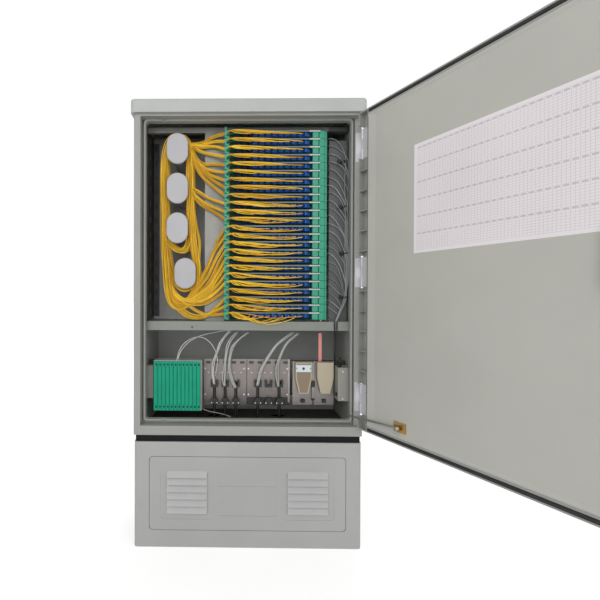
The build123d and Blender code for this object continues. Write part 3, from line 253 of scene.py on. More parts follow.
# Dark copy of the tray green: painted shade on the tray's shelf, back plate and joint, and in the cassettes'
# finger notches
SHADED_GREEN = surface("tray_green_shaded", (5, 44, 36), 0.6, gloss=0.15)
CASSETTE = surface("cassette_green", (18, 154, 121), 0.42, vary=0.08, mottle=14.0, gloss=0.25)
BLUE = surface("plug_blue", (34, 94, 178), 0.38, vary=0.08, mottle=30.0)
# Dark copy of the plug blue for adapters, caps and boots: painted shade
SHADED_BLUE = surface("adapter_blue_shaded", (18, 44, 98), 0.45)
STRIP = surface("label_strip", (186, 190, 188), 0.3, vary=0.04)
# Dim copy of the strip's grey on its left part: painted shade of the cords over it
STRIP_SHADED = surface("strip_shaded", (104, 112, 110), 0.35, vary=0.08)
YELLOW = cord_surface("cord_yellow", (196, 142, 8), (255, 212, 46))
CLEAR = cord_surface("tube_clear", (150, 152, 150), (206, 208, 206), 0.28)
FAINT = cord_surface("tube_faint", (118, 121, 120), (178, 181, 180), 0.28)
# Black of the clamps, ties and glands, also used for holes and slots as painted shade
BLACK = surface("clamp_black", (20, 20, 21), 0.4)
CABLE = surface("cable_black", (16, 16, 17), 0.45)
BEIGE = surface("fanout_beige", (186, 176, 152), 0.45, vary=0.04)
# Dark copy of the fan-out beige on the open fan-out's face: painted shade of its inside
FANOUT_SHADE = surface("fanout_shade", (140, 126, 102), 0.55, vary=0.1)
COPPER = surface("earth_copper", (212, 136, 130), 0.35, metal=0.4)
BOX_GREY = surface("box_grey", (150, 149, 142), 0.5)
SCREW = surface("screw_zinc", (215, 215, 213), 0.3, metal=0.5)
PALE_BLUE = surface("bridge_pale", (206, 216, 222), 0.4, metal=0.2, vary=0.04)
PAPER = surface("record_sheet", (234, 228, 231), 0.6, vary=0.02)
PRINT = surface("record_lines", (206, 200, 205), 0.6, vary=0.05)
MARK = surface("record_marks", (194, 188, 194), 0.6, vary=0.05)

# Sheet steel of the frame: tones of the bay, the duct plate and the rails, with their darkest and lightest
# share, then where the steel starts to darken and is fully dark, in metres: across, then in height
SHEET_TONES = (
    ((138, 137, 132), 0.94, 1.04),
    ((86, 88, 87), 0.92, 1.08),
    # Rail tone: painted shade on the side rails and the low rails
    ((60, 60, 58), 0.9, 1.1),
)
DUCT_EDGE = (0.276, 0.279)
LEFT_RAIL_EDGE = (-0.3458, -0.3465)
RIGHT_RAIL_EDGE = (0.3415, 0.343)
LOW_RAIL_EDGE = (0.7, 0.69)


def sheet_surface():
    """Grey in the bay, darker on the duct plate, and darker on the side rails and the low rails as painted
    shade.
    """
    n = Nodes("frame_sheet")
    broad = n.ranged(n.noise(6.0, 3.0), 0.0, 1.0)
    tone, duct, rail = [n.mix(broad, scaled(srgb(*color), dim), scaled(srgb(*color), bright))
                        for color, dim, bright in SHEET_TONES]
    for axis, edge, darker in (("X", DUCT_EDGE, duct), ("X", LEFT_RAIL_EDGE, rail),
                               ("X", RIGHT_RAIL_EDGE, rail), ("Z", LOW_RAIL_EDGE, rail)):
        tone = n.mix(n.ranged(n.axis(axis), 0.0, 1.0, *edge), tone, darker)
    n.set("Base Color", tone)
    n.set("Roughness", n.ranged(n.noise(30.0), 0.43, 0.57))
    n.bump(n.noise(900.0), 0.12, 0.0004)
    n.set("Metallic", 0.15)
    return n.material


SHEET = sheet_surface()

LOOKS = (
    (BODY, "left_side_panel right_side_panel rear_panel door_frame door_shell"),
    (PLINTH, "plinth plinth_cover"),
    (CAP, "roof_cap"),
    (BAND, "base_frame"),
    (FLOOR_BLACK, "floor_panel"),
    (SHEET, "mounting_frame"),
    (STEEL, "hinge_frame_leaves hinge_door_leaves"),
    (ROD_STEEL, "tray_pivot_rod stay_rod upper_lock_rod lower_lock_rod"),
    (BEAM, "cross_beam"),
    (SPOOL, "cord_spools spool_caps"),
    (BOX_SHEET, "cassette_box"),
    (CASSETTE, "splice_cassettes"),
    (ZINC, "cable_plates"),
    (BLACK, "cable_clamps"),
    (BEIGE, "fanout_covers"),
    (COPPER, "earth_bar"),
    (BOX_GREY, "side_box"),
    (CABLE, "feeder_cables"),
    (RUBBER, "door_seal"),
    (LINER, "door_liner"),
    (BRASS, "stay_bracket"),
    (LOCK, "lock_case lock_handle"),
)
for look, names in LOOKS:
    for node_name in names.split():
        data = nodes[node_name].data
        data.materials.clear()
        data.materials.append(look)


# Shapes


def curve(points, count, closed=False):
    """Smooth line through points, as count places along it."""
    p = np.asarray(points, float)
    if closed:
        p = np.vstack((p[-1:], p, p[:2]))
    else:
        p = np.vstack((2 * p[0] - p[1], p, 2 * p[-1] - p[-2]))
    spans = len(p) - 3
    t = np.linspace(0, spans, count)
    i = np.minimum(t.astype(int), spans - 1)
    f = (t - i)[:, None]
    a, b, c, d = p[i], p[i + 1], p[i + 2], p[i + 3]
    return 0.5 * (2 * b + (c - a) * f + (2 * a - 5 * b + 4 * c - d) * f**2 + (3 * b - 3 * c + d - a) * f**3)


def frames(path):
    """Normal and side of a line, turned as little as possible along it."""
    tangent = np.gradient(path, axis=0)
    tangent /= np.linalg.norm(tangent, axis=1)[:, None] + 1e-9
    normal = np.zeros_like(path)
    v = np.array((0.0, 1.0, 0.0)) if abs(tangent[0][1]) < 0.9 else np.array((1.0, 0.0, 0.0))
    for i, t in enumerate(tangent):
        v = v - t * (v @ t)
        v = v / (np.linalg.norm(v) + 1e-9)
        normal[i] = v
    return normal, np.cross(tangent, normal)


class Shape:
    """Faces in millimetres, each with a material number, made into one piece."""

    def __init__(self):
        self.points, self.faces, self.looks, self.soft, self.shades = [], [], [], [], []

    def add(self, points, faces, look=0, soft=0, shade=0.5):
        """Points and faces; soft is how many of the faces, from the first, are shaded smooth."""
        start = len(self.points)
        self.points += [tuple(p) for p in points]
        self.shades += [shade] * len(points)
        self.faces += [tuple(start + i for i in face) for face in faces]
        self.looks += [look] * len(faces)
        self.soft += [i < soft for i in range(len(faces))]

    def solid(self, points, faces, look, turn=None):
        """Convex solid with its faces turned outwards."""
        p = np.asarray(points, float)
        middle = p.mean(0)
        outward = []
        for face in faces:
            q = p[list(face)]
            normal = np.cross(q[1] - q[0], q[2] - q[0])
            outward.append(face if normal @ (q.mean(0) - middle) > 0 else face[::-1])
        if turn is not None:
            p = p @ turn[0].T + turn[1]
        self.add(p, outward, look)

    def box(self, low, high, look=0, edge=0.3, turn=None):
        """Box with chamfered edges; turn is a rotation and a place."""
        low, high = np.asarray(low, float), np.asarray(high, float)
        e = min(edge, 0.45 * float((high - low).min()))
        points, at = [], {}
        for corner in range(8):
            side = [(corner >> k) & 1 for k in range(3)]
            for k in range(3):
                inset = [0.0 if j == k else e for j in range(3)]
                at[(corner, k)] = len(points)
                points.append([high[j] - inset[j] if side[j] else low[j] + inset[j] for j in range(3)])
        faces = []
        for k in range(3):
            a, b = [j for j in range(3) if j != k]
            for s in (0, 1):
                ring = [(s << k) | (i << a) | (j << b) for i, j in ((0, 0), (1, 0), (1, 1), (0, 1))]
                faces.append([at[(c, k)] for c in ring])
            for i in (0, 1):
                for j in (0, 1):
                    c0 = (i << a) | (j << b)
                    c1 = c0 | (1 << k)
                    faces.append([at[(c0, a)], at[(c0, b)], at[(c1, b)], at[(c1, a)]])
        for corner in range(8):
            faces.append([at[(corner, k)] for k in range(3)])
        self.solid(points, faces, look, turn)

    def prism(self, outline, low, high, axis=2, look=0):
        """Outline pushed along an axis; the outline's two numbers are the other two axes in order."""
        count = len(outline)
        area = sum(a[0] * b[1] - b[0] * a[1] for a, b in zip(outline, outline[1:] + outline[:1]))
        if (area < 0) != (axis == 1):
            outline = outline[::-1]
        points = [np.insert(np.asarray(p, float), axis, level) for level in (low, high) for p in outline]
        faces = [tuple(range(count))[::-1], tuple(range(count, 2 * count))]
        for i in range(count):
            j = (i + 1) % count
            faces.append((i, j, count + j, count + i))
        self.add(points, faces, look)

    def rod(self, start, end, r0, r1=None, look=0, sides=12):
        """Round bar or cone between two points."""
        self.tube((start, end), r0, look, sides, end_radius=r1)

    def tube(self, path, radius, look=0, sides=6, shade=0.5, end_radius=None):
        """Round tube along a line, with flat ends; shade picks the strand's own tone."""
        path = np.asarray(path, float)
        normal, side = frames(path)
        rings = len(path)
        radii = np.linspace(radius, end_radius or radius, rings)[:, None, None]
        a = np.arange(sides) * 2 * math.pi / sides
        circle = np.cos(a)[None, :, None] * normal[:, None, :] + np.sin(a)[None, :, None] * side[:, None, :]
        points = (path[:, None, :] + radii * circle).reshape(-1, 3)
        last = (rings - 1) * sides
        faces = []
        for i in range(0, last, sides):
            for j in range(sides):
                k = (j + 1) % sides
                faces.append((i + j, i + k, i + sides + k, i + sides + j))
        caps = [tuple(reversed(range(sides))), tuple(range(last, last + sides))]
        self.add(points, faces + caps, look, len(faces), shade)

    def mesh(self, name, looks):
        data = bpy.data.meshes.new(name)
        data.from_pydata([tuple(c * MM for c in p) for p in self.points], [], self.faces)
        for look in looks:
            data.materials.append(look)
        data.polygons.foreach_set("material_index", self.looks)
        data.polygons.foreach_set("use_smooth", self.soft)
        strand = data.attributes.new("strand", "FLOAT", "POINT")
        strand.data.foreach_set("value", self.shades)
        data.update()
        return data

    def piece(self, name, looks):
        made = bpy.data.objects.new(name, self.mesh(name, looks))
        bpy.context.scene.collection.objects.link(made)
        return made


def mirrored(x, half):
    """Outline that is alike on both sides of x, from the offsets and heights of its right half."""
    return [(x + across, z) for across, z in half] + [(x - across, z) for across, z in reversed(half)]


def carry(made, body, slot, *replaced):
    """Hang a piece on its body and hide the parts that it stands for; slot is not used."""
    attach(made, body)
    if replaced:
        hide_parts(*replaced)


# Swing-out trays: one dressed tray, used for every row. Heights are over the tray's floor

ROWS = range(1, sum(name.startswith("tray_") for name in frame["bodies"]) + 1)
PIVOT_X, PIVOT_Y, REACH = 252.0, -68.0, 330.0
TRAY_FRONT, TRAY_REAR, TRAY_RIGHT = -80.0, 100.0, 244.0
TRAY_HEIGHT, WALL_HEIGHT, LID = 25.9, 25.0, 1.2
LID_RIM, LID_SETBACK, ARC_POINTS = 6.0, 14.0, 14
FIELD_LEFTS, FIELD_FRONT, FIELD_SIZE, FIELD_RISE = (-30.0, 60.0, 150.0), 20.0, 46.0, 0.6
HOOK_X = PIVOT_X - math.sqrt(REACH**2 - (TRAY_FRONT - PIVOT_Y) ** 2)
STRIP_LEFT, STRIP_RIGHT, STRIP_FRONT, STRIP_REAR = HOOK_X + 22.0, 242.0, -99.5, -97.0
STRIP_BOTTOM, STRIP_TOP, STRIP_ROOF, STRIP_SHADE_END = 20.4, 25.4, 0.6, 206.0
SHELF_LEFT, SHELF_TOP, BACK_PLATE = HOOK_X + 16.0, 1.4, 2.5
BLOCK_LEFT, BLOCK_RIGHT, BLOCK_TOP = 217.5, 237.0, 19.8
HEAD_LEFT, HEAD_RIGHT, HEAD_FRONT = 239.5, 258.0, -94.0
EDGE_LEFT, EDGE_RIGHT, EDGE_FRONT = 259.0, 267.0, -88.0
HEAD_REAR, BOSS_R, JOINT_DEEP = -66.0, 15.0, 4.0
HOOK_FRONT, HOOK_REAR, HOOK_WIDTH, HOOK_WAIST = -98.0, -94.5, 14.0, 6.0
HOOK_FOOT, WAIST_LOW, WAIST_HIGH, HOOK_HEAD = 2.6, 9.0, 15.0, 21.8
HOOK_ARMS, ARM_WIDTH, ARM_LAP = ((0.0, 3.0), (9.0, 11.0)), 7.0, 4.0
PLUGS, SPARE_PORTS, PLUG_PITCH, PLUG_LAST = 12, 3, 21.7, 209.5
PLUG_OUT = np.array((-0.80, -0.60, 0.0))
PLUG_ROOT_Y, PLUG_Z = -79.0, 13.2
BOOT_START, BOOT_END, BOOT_R, BOOT_TIP_R = 23.0, 34.0, 2.9, 1.7
# Boxes in a plug's own frame: start and end along the plug, half width, bottom, top and edge
ADAPTER_BOXES = ((-7.0, 6.0, 6.2, -6.4, 6.4, 0.6), (-1.0, 1.2, 6.3, -6.8, 6.8, 0.3))
SPARE_BOXES = ((6.0, 11.0, 4.2, -3.8, 3.8, 0.9),)
PLUG_BOXES = ((6.0, BOOT_START, 5.0, -6.2, 6.2, 0.9), (9.0, 20.0, 3.4, 6.2, 6.8, 0.4))


def tray_bottom(row):
    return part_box(f"tray_{row:02d}")[0].z / MM


def plug_turn(number):
    """Rotation and place of a plug: its own x runs out along the plug."""
    across = np.array((-PLUG_OUT[1], PLUG_OUT[0], 0.0))
    turn = np.column_stack((PLUG_OUT, across, (0.0, 0.0, 1.0)))
    root = np.array((PLUG_LAST - (PLUGS - 1 - number) * PLUG_PITCH, PLUG_ROOT_Y, PLUG_Z))
    return turn, root


def boot_end(number):
    return plug_turn(number)[1] + PLUG_OUT * BOOT_END


def tray_arc(count):
    low = math.asin((TRAY_FRONT - PIVOT_Y) / REACH)
    high = math.asin((TRAY_REAR - PIVOT_Y) / REACH)
    steps = [low + (high - low) * i / (count - 1) for i in range(count)]
    return [(PIVOT_X - REACH * math.cos(a), PIVOT_Y + REACH * math.sin(a)) for a in steps]


def tray_body(tray, green):
    """Curved sector with its lid, and three raised fields on the lid."""
    arc = tray_arc(ARC_POINTS)
    plan = [(TRAY_RIGHT, TRAY_REAR), (TRAY_RIGHT, TRAY_FRONT)] + arc
    tray.prism(plan, 0.0, WALL_HEIGHT - LID, look=green)
    front, rear, right_edge = TRAY_FRONT + LID_SETBACK, TRAY_REAR - LID_RIM, TRAY_RIGHT - LID_RIM
    lid = [(right_edge, rear), (right_edge, front)]
    lid += [(x + LID_RIM, max(front, min(rear, y))) for x, y in arc]
    tray.prism(lid, WALL_HEIGHT - LID, WALL_HEIGHT, look=green)
    for x in FIELD_LEFTS:
        tray.box((x, FIELD_FRONT, WALL_HEIGHT),
                 (x + FIELD_SIZE, FIELD_FRONT + FIELD_SIZE, WALL_HEIGHT + FIELD_RISE), green)


def tray_front(tray, green, deep, strip, strip_shade):
    """Shelf and plate behind the plugs, the label strip over them, and the green blocks at the pivot. The
    shelf, the plate and the joint are dark green and the strip's left part dim grey: painted shade.
    """
    tray.box((SHELF_LEFT, STRIP_REAR, 0), (BLOCK_RIGHT, TRAY_FRONT, SHELF_TOP), deep)
    tray.box((SHELF_LEFT, TRAY_FRONT - BACK_PLATE, SHELF_TOP), (BLOCK_RIGHT, TRAY_FRONT, STRIP_BOTTOM), deep)
    tray.box((STRIP_LEFT, STRIP_REAR, STRIP_TOP - STRIP_ROOF), (STRIP_RIGHT, TRAY_FRONT, STRIP_TOP), green)
    # The strip's left part is dim: painted shade
    for left, end, look in ((STRIP_LEFT, STRIP_SHADE_END, strip_shade), (STRIP_SHADE_END, STRIP_RIGHT, strip)):
        tray.box((left, STRIP_FRONT, STRIP_BOTTOM), (end, STRIP_REAR, STRIP_TOP), look, edge=0.5)
    tray.box((BLOCK_LEFT, STRIP_REAR, 0), (BLOCK_RIGHT, TRAY_FRONT, BLOCK_TOP), green, edge=0.6)
    tray.box((BLOCK_RIGHT, TRAY_FRONT - JOINT_DEEP, 0), (HEAD_LEFT, TRAY_FRONT, STRIP_BOTTOM), deep)
    tray.box((HEAD_LEFT, HEAD_FRONT, 0), (HEAD_RIGHT, HEAD_REAR, TRAY_HEIGHT), green, edge=0.7)
    tray.rod((PIVOT_X, PIVOT_Y, 0), (PIVOT_X, PIVOT_Y, TRAY_HEIGHT), BOSS_R, look=green, sides=28)
    tray.box((EDGE_LEFT, EDGE_FRONT, 0), (EDGE_RIGHT, HEAD_REAR, TRAY_HEIGHT), green, edge=0.7)


def tray_hook(tray, green):
    """Hook at the left end of the strip, which holds the row's cords, and its two arms."""
    far, waist = HOOK_X + HOOK_WIDTH, HOOK_X + HOOK_WAIST
    hook = [(HOOK_X, 0.0), (far, 0.0), (far, HOOK_FOOT), (waist, WAIST_LOW), (waist, WAIST_HIGH),
            (far, HOOK_HEAD), (far, STRIP_TOP), (HOOK_X, STRIP_TOP)]
    tray.prism(hook, HOOK_FRONT, HOOK_REAR, 1, green)
    for low, high in HOOK_ARMS:
        tray.box((HOOK_X, HOOK_FRONT, low), (HOOK_X + ARM_WIDTH, TRAY_FRONT + ARM_LAP, high), green, edge=0.4)


def tray_port(tray, number, blue, blue_shade):
    """Adapter with its plug and boot, or with a cap where the port is spare."""
    turn = plug_turn(number)
    spare = number < SPARE_PORTS
    # Adapters, caps and boots take the dark copy of the blue: painted shade
    for boxes, look in ((ADAPTER_BOXES, blue_shade), (SPARE_BOXES, blue_shade) if spare else (PLUG_BOXES, blue)):
        for start, end, half, low, high, edge in boxes:
            tray.box((start, -half, low), (end, half, high), look, edge, turn)
    if not spare:
        root = turn[1]
        tray.rod(root + PLUG_OUT * BOOT_START, root + PLUG_OUT * BOOT_END, BOOT_R, BOOT_TIP_R, blue_shade, 10)


def dressed_tray():
    tray = Shape()
    # The second, fourth and sixth looks are darker copies of the green, the blue and the strip: painted shade
    green, deep, blue, blue_shade, strip, strip_shade = range(6)
    tray_body(tray, green)
    tray_front(tray, green, deep, strip, strip_shade)
    tray_hook(tray, green)
    for number in range(PLUGS):
        tray_port(tray, number, blue, blue_shade)
    return tray.mesh("tray", [GREEN, SHADED_GREEN, BLUE, SHADED_BLUE, STRIP, STRIP_SHADED])


tray_mesh = dressed_tray()
for row in ROWS:
    made = bpy.data.objects.new(f"dressed_tray_{row:02d}", tray_mesh)
    bpy.context.scene.collection.objects.link(made)
    made.location = (0, 0, tray_bottom(row) * MM)
    carry(made, f"tray_{row:02d}", "tray_green", f"tray_{row:02d}")

LUG_RISE, LUG_WIDTH = 13.0, 6.0
lug = Shape()
lug_bottom = tray_bottom(1) + STRIP_TOP
lug.box((HOOK_X, HOOK_FRONT, lug_bottom), (HOOK_X + LUG_WIDTH, HOOK_REAR, lug_bottom + LUG_RISE), edge=0.6)
carry(lug.piece("comb_lug", [GREEN]), "tray_01", "tray_green")

# Patch cords: loops round the spools, then a bundle of nine to each tray's hook and on to its plugs

CORD_R = 1.45
LOOP_DEPTH, LOOP_RINGS, LOOP_SIDES = -60.0, 110, 6
# Shares of a loop's spread that a strand keeps all round and that it sways by, and the sway's waves
LOOP_STEADY, LOOP_SWAY = 0.8, 0.22
WAVE_TURN, WAVE_COUNTS = 6.28, (1, 2, 3)
LOOPS = (
    # strands, spread across, spread in depth, image places round the loop
    (30, 15.0, 17.0, ((178, 137.5), (186.5, 141), (190.5, 152), (190.8, 170), (190.8, 190), (191.2, 210),
                      (192, 228), (194, 246), (197, 263), (197.6, 279), (194.5, 293), (188, 303),
                      (179.5, 307), (172.5, 302), (169, 290), (167.2, 275), (165.4, 255), (164.6, 235),
                      (164.4, 210), (164.4, 185), (164.9, 165), (167, 150), (171.5, 140.5))),
    (18, 14.0, 14.0, ((178, 139), (186, 142), (189.6, 153), (189.8, 175), (189.8, 200), (190.2, 222),
                     (190, 238), (187, 248), (181, 251), (173.5, 247), (168, 236), (166.5, 215),
                     (166.3, 190), (166.6, 165), (168.4, 150), (172.5, 142))),
    (12, 9.0, 14.0, ((178, 138.5), (186.3, 142), (190, 153), (190.2, 175), (190.4, 205), (191.5, 230),
                     (194.5, 252), (196.3, 268), (195.8, 279), (191, 287), (184, 289.5), (177, 284.5),
                     (172.5, 270), (169.5, 252), (166.6, 230), (165.6, 205), (165.6, 175), (167.5, 152),
                     (172, 141.5))),
    (7, 5.0, 10.0, ((178, 138), (187, 141.5), (192.4, 156), (193, 180), (193.4, 205), (196.4, 226),
                    (199.4, 240), (199.4, 252), (198.2, 266), (197, 282), (192, 296), (184, 303),
                    (176, 300), (171, 288), (168.4, 270), (165.4, 240), (163.2, 205), (163.4, 170),
                    (167, 148), (172, 140))),
)


def loop_cords():
    loops = Shape()
    around = np.linspace(0, 2 * math.pi, LOOP_RINGS)
    for strands, wide, deep, places in LOOPS:
        line = curve([seen(px, py, LOOP_DEPTH) for px, py in places], LOOP_RINGS, closed=True)
        tangent = np.gradient(line, axis=0)
        tangent /= np.linalg.norm(tangent, axis=1)[:, None]
        across = np.cross(tangent, (0.0, 1.0, 0.0))
        for _ in range(strands):
            side, back = draw.uniform(-1, 1), draw.uniform(-1, 1)
            waves = [(draw.uniform(0, WAVE_TURN), draw.choice(WAVE_COUNTS)) for _ in range(2)]
            sways = [np.sin(count * around + phase) for phase, count in waves]
            offset = wide * (LOOP_STEADY * side + LOOP_SWAY * sways[0])
            depth = deep * (LOOP_STEADY * back + LOOP_SWAY * sways[1])
            path = line + across * offset[:, None] + np.array((0.0, 1.0, 0.0)) * depth[:, None]
            loops.tube(path, CORD_R, 0, LOOP_SIDES, draw.random())
    return loops.piece("loop_cords", [YELLOW])


carry(loop_cords(), "cabinet", "cord_yellow", "patch_cords")

# Image places that each tray's bundle passes on its way from inside the loops to its hook
ROUTES = {
    1: ((183, 141), (188.6, 144.4), (201.5, 143.2), (212.7, 137.5)),
    2: ((183, 142), (188.6, 145), (202.4, 145.5), (213.9, 142.1)),
    3: ((182, 143), (189.8, 145.4), (203, 147.3), (213.9, 146.7)),
    4: ((182, 141), (192, 146.7), (200.1, 151.3), (207, 153.5)),
    5: ((182, 140), (190.4, 147.8), (196.7, 158.7), (204.1, 164.2), (213.9, 164.2)),
    6: ((183, 140), (190, 148), (195, 158.4), (201.3, 166.3), (211, 170.8)),
    7: ((182, 141), (190, 149), (196, 160), (203, 169.6), (212.7, 176)),
    8: ((183, 142), (190, 151), (196, 162), (203.6, 172.5), (213.9, 181.1)),
    9: ((184, 142), (190, 152), (195.4, 165), (201.8, 176), (212.7, 186.3)),
    10: ((182, 176), (188.6, 185.9), (199.5, 192.6), (210, 198.9)),
    11: ((182, 178), (188.6, 186.9), (197, 197.3), (208.1, 204.9)),
    12: ((182, 180), (188.6, 188), (198.4, 201.2), (206, 207.5), (213.9, 212)),
    13: ((171, 286), (178, 301), (191, 296), (199.7, 281), (207, 268), (212.4, 255.2), (218, 240.4)),
    14: ((171, 284), (179, 301.5), (192, 297), (200, 283), (208.2, 267.1), (215.2, 250.5)),
    15: ((170, 282), (178, 299), (191, 297.5), (200.5, 286), (208.2, 276), (215.2, 261)),
    16: ((170, 280), (177, 297), (189, 299), (200, 291), (207.6, 284.5), (214, 274), (219.4, 261.5)),
    17: ((169, 278), (176, 296), (188, 299.5), (199, 294.5), (208.2, 287.6), (215.2, 276.5)),
    18: ((169, 276), (175, 294), (187, 300), (199.7, 297.4), (209.6, 290.3), (217, 279.6)),
    19: ((169, 274), (174.6, 292), (186, 300.4), (198.3, 299.6), (208.2, 294.5), (216.6, 286.2)),
    20: ((168, 272), (174, 291), (185, 300.6), (197, 301.8), (208.2, 298), (216.6, 291.6)),
    21: ((168, 270), (173.6, 290), (184, 301.5), (196.2, 304.3), (206, 302.9), (215.2, 298)),
    22: ((170, 292), (176.5, 306.5), (184.3, 314.5), (194, 318), (205.4, 316.5), (213, 310.8)),
    23: ((170, 290), (177, 304.5), (186.4, 312.5), (195.5, 316), (208.2, 314.6)),
    24: ((171, 288), (180, 301.5), (189.9, 306.4), (197, 311), (208.2, 314.8)),
}
HOOK_Y, HOOK_IN = -87.0, 3.0
FAN_DEPTH, FAN_FORWARD, FAN_RINGS, TRAIL_RINGS, ROW_SIDES = -72.0, 4.0, 30, 28, 5
# Round bundle: its radius, the inner strands with their share of it, the steps round the inner and outer
# ring, the least and most twist along it, and its spread at the start and at the hook
BUNDLE_R, INNER_STRANDS, INNER_SHARE = 4.4, 3, 0.42
INNER_STEP, OUTER_STEP = 2.094, 1.047
BUNDLE_TWIST, BUNDLE_SPREAD = (1.0, 3.0), (1.3, 0.8)
FRONT_Y, FRONT_SPREAD = -103.6, 5.0
# Last row of each group, heights over a tray's floor at the hook and the crest beside it, then at three
# places on the way to the plugs for the tightest cord of the row and for the slackest
PROFILES = (
    (8, 20.3, 24.2, (24.2, 22.5, 17.5), (20.4, 14.0, 11.5)),
    (12, 20.3, 24.2, (24.0, 21.0, 15.5), (15.8, 6.2, 5.0)),
    (23, 18.2, 24.6, (22.0, 16.5, 13.5), (9.5, 1.5, 2.6)),
    (24, 18.2, 24.6, (18.0, 9.0, 11.0), (3.0, -16.0, -7.0)),
)
# Places between the hook and the plug as shares of the run, with their longest reach and their splay
RISE_SHARE, RISE_RUN, RISE_SPLAY = 0.1, 14.0, 0.6
CREST_SHARE, CREST_RUN, CREST_SPLAY, CREST_BACK = 0.2, 30.0, 1.0, 2.0
RUN_SHARES, RUN_SPLAY = (0.36, 0.6, 0.83), 0.8
# Run from which a cord hangs fully, then the reach, drop share and lap of its end at the boot
FULL_HANG = 170.0
BOOT_REACH, BOOT_DROP, BOOT_LAP = 5.0, 0.35, 1.5


def bundle_offset(index):
    """Place of a strand in the round bundle: three inside, the rest outside."""
    if index < INNER_STRANDS:
        return INNER_SHARE * BUNDLE_R, index * INNER_STEP
    return BUNDLE_R, (index - INNER_STRANDS) * OUTER_STEP


def row_cords(row):
    """Cords of one tray: a twisted bundle to the hook, then each strand in front of the strip to its plug."""
    floor_z = tray_bottom(row)
    exit_z, crest, tight, slack = next(profile[1:] for profile in PROFILES if row <= profile[0])
    hook_point = np.array((HOOK_X + HOOK_IN, HOOK_Y, floor_z + exit_z))
    depths = [LOOP_DEPTH, LOOP_DEPTH - FAN_FORWARD] + [FAN_DEPTH] * len(ROUTES[row])
    route = [seen(px, py, depth) for (px, py), depth in zip(ROUTES[row], depths)]
    middle = curve(route + [hook_point], FAN_RINGS)
    normal, side = frames(middle)
    cords = Shape()
    turn_total = draw.uniform(*BUNDLE_TWIST)
    for number in range(SPARE_PORTS, PLUGS):
        reach, angle = bundle_offset(number - SPARE_PORTS)
        twist = angle + np.linspace(0, turn_total, FAN_RINGS)
        spread = reach * np.linspace(*BUNDLE_SPREAD, FAN_RINGS)
        lead = middle + normal * (spread * np.cos(twist))[:, None] + side * (spread * np.sin(twist))[:, None]
        start, end = lead[-1], boot_end(number) + np.array((0, 0, floor_z))
        run = end[0] - start[0]
        hang = min(1.0, run / FULL_HANG)
        splay = draw.uniform(-1, 1)
        ease = draw.random()
        heights = [a + (b - a) * ease for a, b in zip(tight, slack)]
        front = FRONT_Y - draw.uniform(0, FRONT_SPREAD)

        def height(value):
            return floor_z + PLUG_Z + (value - PLUG_Z) * hang + RUN_SPLAY * splay

        rise_z = floor_z + (exit_z + crest) / 2 + RISE_SPLAY * splay
        crest_z = floor_z + crest + CREST_SPLAY * splay
        trail = curve([
            start,
            (start[0] + min(RISE_RUN, RISE_SHARE * run), STRIP_REAR, rise_z),
            (start[0] + min(CREST_RUN, CREST_SHARE * run), front + CREST_BACK, crest_z),
            *[(start[0] + share * run, front, height(value)) for share, value in zip(RUN_SHARES, heights)],
            end + PLUG_OUT * BOOT_REACH + np.array((0, 0, BOOT_DROP * (heights[-1] - PLUG_Z) * hang)),
            end,
            end - PLUG_OUT * BOOT_LAP,
        ], TRAIL_RINGS)
        cords.tube(np.vstack((lead, trail[1:])), CORD_R, 0, ROW_SIDES, draw.random())
    made = cords.piece(f"patch_cords_{row:02d}", [YELLOW])
    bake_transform(made)


for row in ROWS:
    row_cords(row)

# Fibre tubes beside the trays: out of the gap behind each tray, into one bundle that leaves through the beam

TUBE_R, TUBE_RINGS, TUBE_SIDES = 1.5, 48, 6
TUBE_ROOT = np.array((272.0, -48.0, 12.0))
TUBE_OUT, OUT_BACK, OUT_LIFT = np.array((284.0, -61.5, 12.0)), (-3.0, 0.0), (-2.0, 2.0)
TUBE_DEPTH, TUBE_SPREAD = -62.5, 9.0
# Image places: a row's height, where its tube turns down, the bundle it joins and the way out of the bay
ROW_IMAGE_START, ROW_IMAGE_STEP = 128.6, 7.911
TURN_IMAGE_X, TURN_SWAY, TURN_SHARE, TUBE_DROP = 338.5, (-1.0, 1.5), 0.28, (16.0, 30.0)
BUNDLE_IMAGE_X, BUNDLE_SWAY, STEP_SWAY = 346.4, (-1.9, 2.1), 0.6
BUNDLE_END_Y, BUNDLE_STEP = 286.0, 26.0
EXITS = ((344.6, 299, 1.4), (340.6, 311, 1.2), (336.4, 321, 0.9), (335.8, 331, 0.6))
EXIT_FALL = 6.0
# Cable ties round the bundle: image places, then the ring and the knot left of it
TIES = ((342.6, 161.8), (343.2, 207.0), (344.6, 253.5), (344.4, 297.3))
TIE_WIDE, TIE_DEEP, TIE_TILT, TIE_R, TIE_DEPTH, TIE_POINTS = 12.0, 7.0, 3.0, 1.6, -67.0, 25
KNOT_SHIFT, KNOT_DEPTH, KNOT_HALF = 3.0, -66.0, np.array((7.0, 5.0, 6.0))


